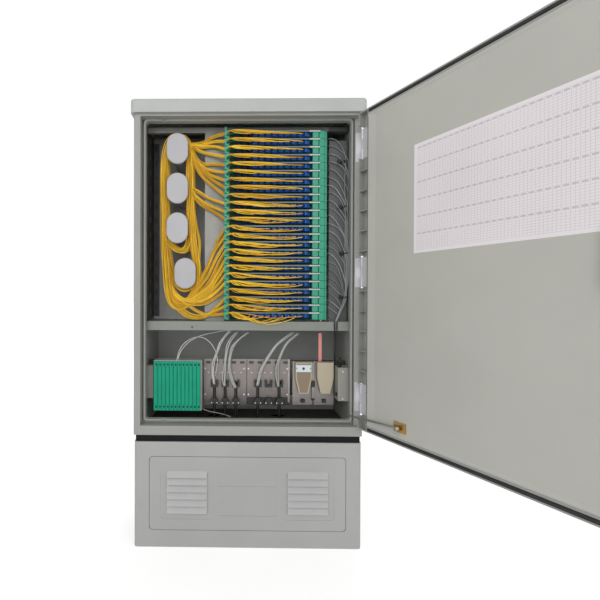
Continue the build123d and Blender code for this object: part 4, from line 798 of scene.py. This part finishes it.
def fibre_tube(row):
    """Places along the tube of one row."""
    rise = np.array((0, 0, tray_bottom(row)))
    depth = TUBE_DEPTH - draw.uniform(0, TUBE_SPREAD)
    line = [TUBE_ROOT + rise,
            TUBE_OUT + rise + np.array((0, draw.uniform(*OUT_BACK), draw.uniform(*OUT_LIFT)))]
    image_y = ROW_IMAGE_START + ROW_IMAGE_STEP * row
    drop = draw.uniform(*TUBE_DROP)
    line.append(seen(TURN_IMAGE_X + draw.uniform(*TURN_SWAY), image_y + TURN_SHARE * drop, depth))
    level_y = image_y + drop
    out = BUNDLE_IMAGE_X + draw.uniform(*BUNDLE_SWAY)
    while level_y < BUNDLE_END_Y:
        line.append(seen(out + draw.uniform(-STEP_SWAY, STEP_SWAY), level_y, depth))
        level_y += BUNDLE_STEP
    for px, py, sway in EXITS:
        place = seen(px + draw.uniform(-sway, sway), py, depth)
        if place[2] < line[-1][2] - EXIT_FALL:
            line.append(place)
    return line


def fibre_tubes():
    tubes = Shape()
    clear, black = range(2)
    for row in ROWS:
        line = fibre_tube(row)
        tubes.tube(curve(line, TUBE_RINGS), TUBE_R, clear, TUBE_SIDES, draw.random())
    around = np.linspace(0, 2 * math.pi, TIE_POINTS)
    ring = np.column_stack((TIE_WIDE * np.cos(around), TIE_DEEP * np.sin(around), TIE_TILT * np.cos(around)))
    for px, py in TIES:
        tubes.tube(seen(px, py, TIE_DEPTH) + ring, TIE_R, black, TUBE_SIDES)
        knot = seen(px - KNOT_SHIFT, py, KNOT_DEPTH)
        tubes.box(knot - KNOT_HALF, knot + KNOT_HALF, black, edge=1.5)
    return tubes.piece("fibre_tubes", [FAINT, BLACK])


carry(fibre_tubes(), "cabinet", "tube_clear", "pigtail_tubes")

# Loose tubes of the lower bay, in pairs from the feeder clamps to the beam, and thin ones from the cassettes

FEEDER_ROUTES = (
    ((214.3, 384), (213, 372), (213.8, 362), (216.7, 353), (220, 344), (225, 336), (231, 330)),
    ((224.6, 386), (223.6, 378), (224.4, 368), (225.8, 357), (227.6, 346), (231.6, 338), (238, 331)),
    ((235.4, 388), (231.6, 378), (229.4, 367), (230, 357), (233, 347), (239.4, 339), (249, 332)),
    ((257.6, 386), (260.5, 371), (264.8, 363), (270, 354), (277, 345), (285.5, 338), (294, 332)),
    ((278.4, 387), (277.2, 374), (278.2, 363), (281, 355), (284.4, 347), (289.5, 340), (299, 333)),
)
THIN_ROUTES = (
    ((176.2, 365), (177, 359), (179.8, 349.5), (185.2, 342.4), (194.5, 337.4), (203, 337.8), (210.5, 343),
     (215.8, 352), (217.4, 362), (215.5, 376)),
    ((177.6, 364), (178.6, 357), (182, 349.5), (190, 341), (203, 335), (219, 331.6), (231, 330)),
)
PAIR_SHIFTS, LOOSE_SWAY_X, LOOSE_SWAY_Y = (-0.9, 0.7), 0.4, 0.5
LOOSE_R, LOOSE_SIDES, LOOSE_RINGS, LOOSE_DEPTH, LOOSE_STEP = 2.6, 8, 36, -44.0, 1.0
LOOSE_SHADE, SHADE_SWAY = 0.5, 0.3
THIN_RINGS, THIN_DEPTH, THIN_STEP, THIN_SHADE = 40, -70.0, 3.0, 0.95
WIRE_R, WIRE_RINGS, WIRE_DEPTH, WIRE_SHADE = 0.9, 24, -60.0, 0.8
FLOOR_WIRE = ((202, 408.5), (208, 411), (214, 412.2), (220, 413.4), (226, 415), (231, 417))


def loose_tubes():
    loose = Shape()
    for places in FEEDER_ROUTES:
        for shift in PAIR_SHIFTS:
            line = [seen(px + shift + draw.uniform(-LOOSE_SWAY_X, LOOSE_SWAY_X),
                         py + draw.uniform(-LOOSE_SWAY_Y, LOOSE_SWAY_Y), LOOSE_DEPTH + LOOSE_STEP * i)
                    for i, (px, py) in enumerate(places)]
            shade = LOOSE_SHADE + draw.uniform(-SHADE_SWAY, SHADE_SWAY)
            loose.tube(curve(line, LOOSE_RINGS), LOOSE_R, 0, LOOSE_SIDES, shade)
    for places in THIN_ROUTES:
        line = [seen(px, py, THIN_DEPTH + THIN_STEP * i) for i, (px, py) in enumerate(places)]
        loose.tube(curve(line, THIN_RINGS), TUBE_R, 0, LOOSE_SIDES, THIN_SHADE)
    wire = [seen(px, py, WIRE_DEPTH) for px, py in FLOOR_WIRE]
    loose.tube(curve(wire, WIRE_RINGS), WIRE_R, 0, LOOSE_SIDES, WIRE_SHADE)
    return loose.piece("loose_tubes", [CLEAR])


carry(loose_tubes(), "cabinet", "tube_clear", "cable_tubes")

# Fixings of the cable plates, clamps on the feeders, and dressing of the fan-outs

plate_low, plate_high = (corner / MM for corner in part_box("cable_plates"))
PLATE_FRONT = plate_low.y
PLATE_GAP = 2.0
PLATE_WIDTH = (plate_high.x - plate_low.x - PLATE_GAP) / 2
PLATE_LEFTS = (plate_low.x, plate_high.x - PLATE_WIDTH)
CLAMP_SHARES = (0.25, 0.5, 0.75)
STUD_SEAT, STUD_TAPER = 0.5, 0.86
FILM, THIN_EDGE = 0.2, 0.1


def stud(shape, x, z, y, radius, look, proud=1.0, sides=12):
    """Round head on a face that looks to the front."""
    shape.rod((x, y + STUD_SEAT, z), (x, y - proud, z), radius, STUD_TAPER * radius, look, sides)


def plate_fixings():
    """Dots, holes and screws of both cable plates, and the dark lower band and pale edge of the right one.
    The holes are black discs of painted shade.
    """
    made = Shape()
    white, dark, pale = range(3)
    dot_count, dot_first, dot_pitch, screws = 6, 16.6, 23.0, (5.0, 142.0)
    dots = [dot_first + dot_pitch * k for k in range(dot_count)]
    # Places along the plate, height, radius, look and height proud
    rows = ((dots, 545.0, 2.0, white, 1.0), (dots, 481.6, 1.6, dark, FILM),
            (screws, 559.0, 3.0, white, 1.6), (screws, 467.5, 3.0, white, 1.6))
    for left in PLATE_LEFTS:
        for places, z, radius, look, proud in rows:
            for along in places:
                stud(made, left + along, z, PLATE_FRONT, radius, look, proud)
    # Dark band over the lower part of the right plate
    band_rise, band_top, band_proud = 1.0, 458.5, 0.5
    made.box((PLATE_LEFTS[1], PLATE_FRONT - band_proud, plate_low.z + band_rise),
             (plate_high.x, PLATE_FRONT, band_top), dark, THIN_EDGE)
    edge_width, edge_proud, edge_low = 7.0, 1.6, 440.0
    made.box((plate_high.x - edge_width, PLATE_FRONT - edge_proud, edge_low),
             (plate_high.x, PLATE_FRONT, plate_high.z), pale, edge=0.4)
    return made.piece("plate_fixings", [SCREW, BLACK, PALE_ZINC])


def feeder_clamps():
    """Forked clip over each feeder cable, and the collar with two screws under it."""
    made = Shape()
    black, screw = range(2)
    half, inner = 13.0, 6.0
    clip_low, clip_bar, clip_top, clip_deep = 496.0, 505.0, 520.0, 14.0
    collar_low, collar_shoulder, collar_top, collar_deep = 435.5, 447.0, 459.0, 16.0
    screw_out, screw_rise, screw_r = 9.5, 6.0, 2.3
    clip = [(half, clip_low), (half, clip_top), (inner, clip_top), (inner, clip_bar)]
    collar = [(half, collar_low), (half, collar_shoulder), (inner, collar_top)]
    for left in PLATE_LEFTS:
        for share in CLAMP_SHARES:
            x = left + share * PLATE_WIDTH
            made.prism(mirrored(x, clip), PLATE_FRONT - clip_deep, PLATE_FRONT, 1, black)
            made.prism(mirrored(x, collar), PLATE_FRONT - collar_deep, PLATE_FRONT, 1, black)
            for screw_x in (x - screw_out, x + screw_out):
                stud(made, screw_x, collar_low + screw_rise, PLATE_FRONT - collar_deep, screw_r, screw)
    return made.piece("feeder_clamps", [BLACK, SCREW])


carry(plate_fixings(), "cabinet", "galvanised")
carry(feeder_clamps(), "cabinet", "clamp_black", "cable_clamps")

FANOUT_XS = (197.0, 272.0)
fan_low, fan_high = (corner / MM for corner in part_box("fanout_covers"))
FAN_HALF_TOP,FAN_HALF_LOW, FAN_SHOULDER = 28.6, 16.6, 54.0


def fan_face(inset, foot, head):
    """Right half of a fan-out's face, drawn in from its sides, its foot and its head."""
    wide, narrow = FAN_HALF_TOP - inset, FAN_HALF_LOW - inset
    return [(narrow, fan_low.z + foot), (wide, fan_low.z + FAN_SHOULDER), (wide, fan_high.z - head)]


def fan_backs(made, pale, black):
    """Plate round each fan-out, with a clamp below it."""
    half, front, rear, low, clear = 35.0, -29.6, -28.1, 432.0, 0.6
    clamp_half, clamp_deep, clamp_low, clamp_high = 7.0, 9.0, 442.0, 454.0
    outline = [(half, low), (half, fan_high.z)] + fan_face(0.0, -clear, 0.0)[::-1]
    for x in FANOUT_XS:
        made.prism(mirrored(x, outline), front, rear, 1, pale)
        made.box((x - clamp_half, front - clamp_deep, clamp_low), (x + clamp_half, front, clamp_high),
                 black, edge=1.0)


def fan_bridge(made, look, black):
    """Waisted bridge over the open fan-out, with a round hole drawn as a black disc of painted shade."""
    x, half, low, high, notch = 196.0, 26.0, 553.6, 577.8, 5.0
    hole_x, hole_z, hole_r, hole_proud = 195.6, 565.3, 5.0, 0.3
    front, rear = fan_low.y - 3.0, fan_low.y - 1.0
    middle = (low + high) / 2
    outline = [(half, low), (half, middle - notch), (half - notch, middle), (half, middle + notch),
               (half, high)]
    made.prism(mirrored(x, outline), front, rear, 1, look)
    stud(made, hole_x, hole_z, front, hole_r, black, hole_proud, 20)


def fan_flange(made, pale, black):
    """Upright flange between the fan-outs, with two dark grips."""
    left, right_edge, front, rear, low, high = 228.5, 235.5, -41.0, -29.7, 458.0, 583.0
    grips, grip_out, grip_front = ((498.0, 520.0), (452.0, 458.0)), 2.5, -45.0
    made.box((left, front, low), (right_edge, rear, high), pale, edge=0.5)
    for bottom, top in grips:
        made.box((left - grip_out, grip_front, bottom), (right_edge + grip_out, front, top), black, edge=0.8)


def fanout_dressing():
    made = Shape()
    pale, black, inside_shade, beige, bridge = range(5)
    # Face of the open fan-out, dark as painted shade of its inside, and lid of the closed one: inset, rise of
    # the foot, drop of the head, thickness
    faces = ((4.5, 3.0, 4.0, 0.3, inside_shade), (3.0, 3.0, 8.0, 0.8, beige))
    fan_backs(made, pale, black)
    for x, (inset, foot, head, proud, look) in zip(FANOUT_XS, faces):
        made.prism(mirrored(x, fan_face(inset, foot, head)), fan_low.y - proud, fan_low.y, 1, look)
    fan_bridge(made, bridge, black)
    fan_flange(made, pale, black)
    return made.piece("fanout_dressing", [PALE_ZINC, BLACK, FANOUT_SHADE, BEIGE, PALE_BLUE])


carry(fanout_dressing(), "cabinet", "galvanised")

# Slotted rail and dark strip at the sides of the bays, holes of the steelwork, and the side box's fittings.
# The rail's dark tone, its slots and the holes are painted shade


def slotted_rail(made, dark, black):
    """Upright rail at the left of the bay, dark as painted shade of the recess there, with black slots of
    painted shade.
    """
    left, right_edge, front, rear, low, high = -346.0, -325.0, 33.0, 37.5, 742.0, 1378.0
    pitch, first, last, inset, tall, seat = 53.0, 24.0, 20.0, 7.0, 22.0, 0.5
    made.box((left, front, low), (right_edge, rear, high), dark, edge=0.5)
    z = low + first
    while z < high - last:
        made.box((left + inset, front - FILM, z), (right_edge - inset, front + seat, z + tall),
                 black, THIN_EDGE)
        z += pitch


def bay_details():
    made = Shape()
    dark, black, screw = range(3)
    slotted_rail(made, dark, black)
    # Dark strip beside the duct, and two slots of the spool panel drawn black as painted shade: corners and
    # edge
    boxes = (
        ((307.5, -30.0, 404.0), (313.0, -26.0, 699.0), 0.4),
        ((-116.0, -60.4, 1364.0), (-112.0, -59.9, 1372.0), THIN_EDGE),
        ((-122.6, -60.4, 738.0), (-118.6, -59.9, 746.0), THIN_EDGE),
    )
    for low, high, edge in boxes:
        made.box(low, high, black, edge)
    # Hole of the beam, a black disc of painted shade, and screws of the side box: place, front, radius, look,
    # height proud and sides
    beam_front, box_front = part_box("cross_beam")[0].y / MM, -95.0
    studs = (
        (-186.0, 710.3, beam_front, 3.5, black, FILM, 16),
        (322.0, 562.0, box_front, 3.0, screw, 1.2),
        (322.0, 470.0, box_front, 3.0, screw, 1.2),
    )
    for entry in studs:
        stud(made, *entry)
    # Glands and the conduit of the side box: ends and radii
    glands = (
        ((312.0, -82.0, 575.0), (312.0, -82.0, 585.0), 6.5, 5.0),
        ((306.0, -78.0, 483.0), (297.0, -78.0, 483.0), 6.5, 5.0),
        ((319.0, -70.0, 575.0), (319.0, -70.0, 606.0), 4.0, 4.0),
    )
    for start, end, r0, r1 in glands:
        made.rod(start, end, r0, r1, black, 14)
    return made.piece("bay_details", [SHADE_SHEET, BLACK, SCREW])


carry(bay_details(), "cabinet", "dark_band")

# Fronts of the splice cassettes, over the box's edges, each with a ridge and a finger notch at both ends; the
# notches are dark green patches of painted shade

CASSETTE_COUNT = 12
CASSETTE_GAP = 1.6
FRONT_PROUD, FRONT_LAP, RIDGE_PROUD, RIDGE_SEAT = 2.5, 1.0, 1.6, 0.5
RIDGE_SHARES = (0.56, 0.8)
FINGER_SHARES = (0.3, 0.72)
FINGER_INSET, FINGER_HEIGHT = 8.0, 6.5


def cassette_fronts():
    made = Shape()
    green, dark = range(2)
    low, high = (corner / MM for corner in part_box("splice_cassettes"))
    box_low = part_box("cassette_box")[0] / MM
    front = min(low.y, box_low.y)
    face = front - FRONT_PROUD
    pitch = (high.x - low.x + CASSETTE_GAP) / CASSETTE_COUNT
    for number in range(CASSETTE_COUNT):
        left = low.x + number * pitch
        end = left + pitch - CASSETTE_GAP / 2
        start = left if number else box_low.x
        made.box((start, face, box_low.z), (end, front + FRONT_LAP, high.z), green, edge=0.8)
        ridge = [left + share * pitch for share in RIDGE_SHARES]
        made.box((ridge[0], face - RIDGE_PROUD, low.z + 2 * FINGER_INSET),
                 (ridge[1], face + RIDGE_SEAT, high.z - 2 * FINGER_INSET), green, edge=0.6)
        finger = [left + share * pitch for share in FINGER_SHARES]
        # Finger notches: dark green patches of painted shade
        for z in (low.z + FINGER_INSET, high.z - FINGER_INSET - FINGER_HEIGHT):
            made.box((finger[0], face - FILM, z), (finger[1], face + RIDGE_SEAT, z + FINGER_HEIGHT),
                     dark, THIN_EDGE)
    return made.piece("cassette_fronts", [CASSETTE, SHADED_GREEN])


carry(cassette_fronts(), "cabinet", "tray_green")

# Louvre blades of the plinth cover: one sloped hood over each slot, in a lighter grey that is painted light

LOUVRE_MIDDLE, LOUVRE_WIDTH, LOUVRE_PITCH = 195.0, 130.0, 23.0
LOUVRE_COUNT = 6
LOUVRE_FIRST = 119.5
BLADE_RISE, BLADE_DROP, BLADE_LIP, BLADE_PROUD, BLADE_SEAT = 12.0, 6.5, 1.2, 9.0, 1.0


def louvre_blades():
    made = Shape()
    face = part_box("plinth")[0].y / MM
    for side in (-1, 1):
        left = side * LOUVRE_MIDDLE - LOUVRE_WIDTH / 2
        for number in range(LOUVRE_COUNT):
            top = LOUVRE_FIRST + number * LOUVRE_PITCH
            outline = (
                (face + BLADE_SEAT, top + BLADE_RISE),
                (face - BLADE_PROUD, top - BLADE_DROP + BLADE_LIP),
                (face - BLADE_PROUD, top - BLADE_DROP),
                (face + BLADE_SEAT, top - BLADE_DROP + BLADE_LIP),
            )
            made.prism(outline, left, left + LOUVRE_WIDTH, 0)
    return made.piece("louvre_blades", [LOUVRE_LIT])


carry(louvre_blades(), "cabinet", "plinth_grey")

# Record sheet on the door's liner: plain fields only

SHEET_NEAR, SHEET_FAR, SHEET_LOW, SHEET_HIGH = 211.0, 611.0, 931.0, 1223.0
LINER_FACE = 22.0
DOOR_TURN = (np.column_stack((ALONG, (0.0, 0.0, 1.0), INTO)), HINGE)


def record_sheet():
    made = Shape()
    paper, ink, mark = range(3)
    thick, line, film, sharp = 0.3, 0.35, 0.08, 0.01
    margin, groups, rows, columns = 9.0, 6, 8, 52
    mark_half, mark_top, mark_low = 0.7, 0.3, 0.8
    face = LINER_FACE + thick
    made.box((SHEET_NEAR, SHEET_LOW, LINER_FACE), (SHEET_FAR, SHEET_HIGH, face), paper, THIN_EDGE, DOOR_TURN)
    near, far = SHEET_NEAR + margin, SHEET_FAR - margin
    low, high = SHEET_LOW + margin, SHEET_HIGH - margin
    row_step, step = (high - low) / (groups * rows), (far - near) / columns

    def field(u0, u1, z0, z1, look):
        made.box((u0, z0, face), (u1, z1, face + film), look, sharp, DOOR_TURN)

    for k in range(groups * rows + 1):
        z = low + k * row_step
        field(near, far, z - line, z + line, ink)
    for k in range(columns + 1):
        u = near + k * step
        field(u - line, u + line, low, high, ink)
    for group in range(1, groups + 1):
        z = low + group * rows * row_step
        for k in range(0, columns, 2):
            u = near + (k + 1) * step
            reach = mark_half * step
            field(u - reach, u + reach, z - mark_low * row_step, z - mark_top * row_step, mark)
    return made.piece("record_sheet", [PAPER, PRINT, MARK])


carry(record_sheet(), "door", "liner_grey")

# Turned rim of the door's liner: a narrow crest that runs out towards the middle, and a seal beside it

LINER_START, LINER_END, LINER_LOW, LINER_HIGH = 46.5, 692.5, 415.0, 1375.0
RIM_RISE, RIM_FOOT, RIM_CREST = 2.4, 1.5, 5.0
HINGE_RUN, LOCK_RUN, END_RUN = 30.0, 14.0, 12.0
SEAL_FAR, SEAL_NEAR, SEAL_LAP, SEAL_SUNK, SEAL_PROUD = 2.4, 0.2, 3.0, 1.5, 0.5


def liner_rim():
    made = Shape()
    faces = [(0, 1, 2, 3), (4, 5, 6, 7)] + [(i, (i + 1) % 4, 4 + (i + 1) % 4, 4 + i) for i in range(4)]
    top = LINER_FACE + RIM_RISE

    def bar(outer, inward, run, start, end, tall):
        """Rim from its outer edge inwards, along the door's height when tall, else along its width."""
        section = [(outer, LINER_FACE), (outer + inward * RIM_FOOT, top), (outer + inward * RIM_CREST, top),
                   (outer + inward * run, LINER_FACE)]
        points = []
        for reach in (start, end):
            for across, depth in section:
                points.append((across, reach, depth) if tall else (reach, across, depth))
        made.solid(points, faces, 0, DOOR_TURN)

    made.box((LINER_START - SEAL_FAR, LINER_LOW - SEAL_LAP, LINER_FACE - SEAL_SUNK),
             (LINER_START - SEAL_NEAR, LINER_HIGH + SEAL_LAP, LINER_FACE + SEAL_PROUD), 1, turn=DOOR_TURN)
    bar(LINER_START, 1, HINGE_RUN, LINER_LOW, LINER_HIGH, True)
    bar(LINER_END, -1, LOCK_RUN, LINER_LOW, LINER_HIGH, True)
    bar(LINER_LOW, 1, END_RUN, LINER_START, LINER_END, False)
    bar(LINER_HIGH, -1, END_RUN, LINER_START, LINER_END, False)
    return made.piece("liner_rim", [LINER, RUBBER])


carry(liner_rim(), "door", "liner_grey")

# Stage, light and camera, in metres

WORLD_LIGHT, WORLD_SHOWN = 0.5, 1.0
FLOOR_HALF, FLOOR_TONE, FLOOR_ROUGH = 60.0, 0.85, 0.9
WHITE = (1.0, 1.0, 1.0, 1.0)
# Glow of the floor near the cabinet and far from it, and the distances between which it grows
GLOW_NEAR, GLOW_FAR, GLOW_START, GLOW_END = 0.42, 0.68, 1.6, 6.0
LAMP_TARGET = Vector((0.0, 0.0, 0.8))
# Name, place, size and power
LAMPS = (
    ("key", (-0.9, -3.8, 2.2), 3.0, 74),
    ("fill", (2.4, -3.0, 1.6), 2.6, 26),
    ("back", (0.8, 3.8, 2.4), 2.6, 54),
)
SENSOR, CLIP_START, CLIP_END = 36.0, 0.05, 200.0

scene = bpy.context.scene
scene.view_settings.view_transform = "Standard"


def seen_directly(n):
    """One for rays that show the backdrop itself: camera, mirror and glass rays."""
    total = n.node("LightPath", "Is Camera Ray")
    for name in ("Is Glossy Ray", "Is Transmission Ray"):
        total = n.math("MAXIMUM", total, n.node("LightPath", name))
    return total


def studio_world():
    world = bpy.data.worlds.new("studio")
    world.use_nodes = True
    n = Tree(world.node_tree)
    background = n.tree.nodes["Background"]
    n.link(WHITE, background.inputs["Color"])
    n.link(n.ranged(seen_directly(n), WORLD_LIGHT, WORLD_SHOWN, 0.0, 1.0), background.inputs["Strength"])
    return world


def floor_surface():
    n = Nodes("studio_floor")
    n.set("Base Color", (FLOOR_TONE, FLOOR_TONE, FLOOR_TONE, 1.0))
    n.set("Roughness", FLOOR_ROUGH)
    n.set("Specular IOR Level", 0.0)
    n.set("Emission Color", WHITE)
    distance = n.node("VectorMath", "Value", {0: n.place}, operation="LENGTH")
    glow = n.ranged(distance, GLOW_NEAR, GLOW_FAR, GLOW_START, GLOW_END)
    n.set("Emission Strength", n.math("MULTIPLY", glow, seen_directly(n)))
    return n.material


def studio_floor():
    data = bpy.data.meshes.new("studio_floor")
    corners = [(x * FLOOR_HALF, y * FLOOR_HALF, 0) for x, y in ((-1, -1), (1, -1), (1, 1), (-1, 1))]
    data.from_pydata(corners, [], [(0, 1, 2, 3)])
    data.materials.append(floor_surface())
    made = bpy.data.objects.new("studio_floor", data)
    scene.collection.objects.link(made)


def lamp(name, place, size, power):
    data = bpy.data.lights.new(name, "AREA")
    data.shape = "SQUARE"
    data.size = size
    data.energy = power
    made = bpy.data.objects.new(name, data)
    made.location = place
    made.rotation_euler = (LAMP_TARGET - Vector(place)).to_track_quat("-Z", "Y").to_euler()
    scene.collection.objects.link(made)


scene.world = studio_world()
studio_floor()
for entry in LAMPS:
    lamp(*entry)

camera_data = bpy.data.cameras.new("camera")
camera_data.sensor_width = SENSOR
camera_data.lens = SENSOR * FOCAL / IMAGE
camera_data.shift_x = (IMAGE / 2 - CENTRE_X) / IMAGE
camera_data.shift_y = (CENTRE_Y - IMAGE / 2) / IMAGE
camera_data.clip_start = CLIP_START
camera_data.clip_end = CLIP_END
camera = bpy.data.objects.new("camera", camera_data)
turn = Matrix((right, up, -forward)).transposed().to_4x4()
camera.matrix_world = Matrix.Translation(Vector(CAMERA) * MM) @ turn
scene.collection.objects.link(camera)
scene.camera = camera
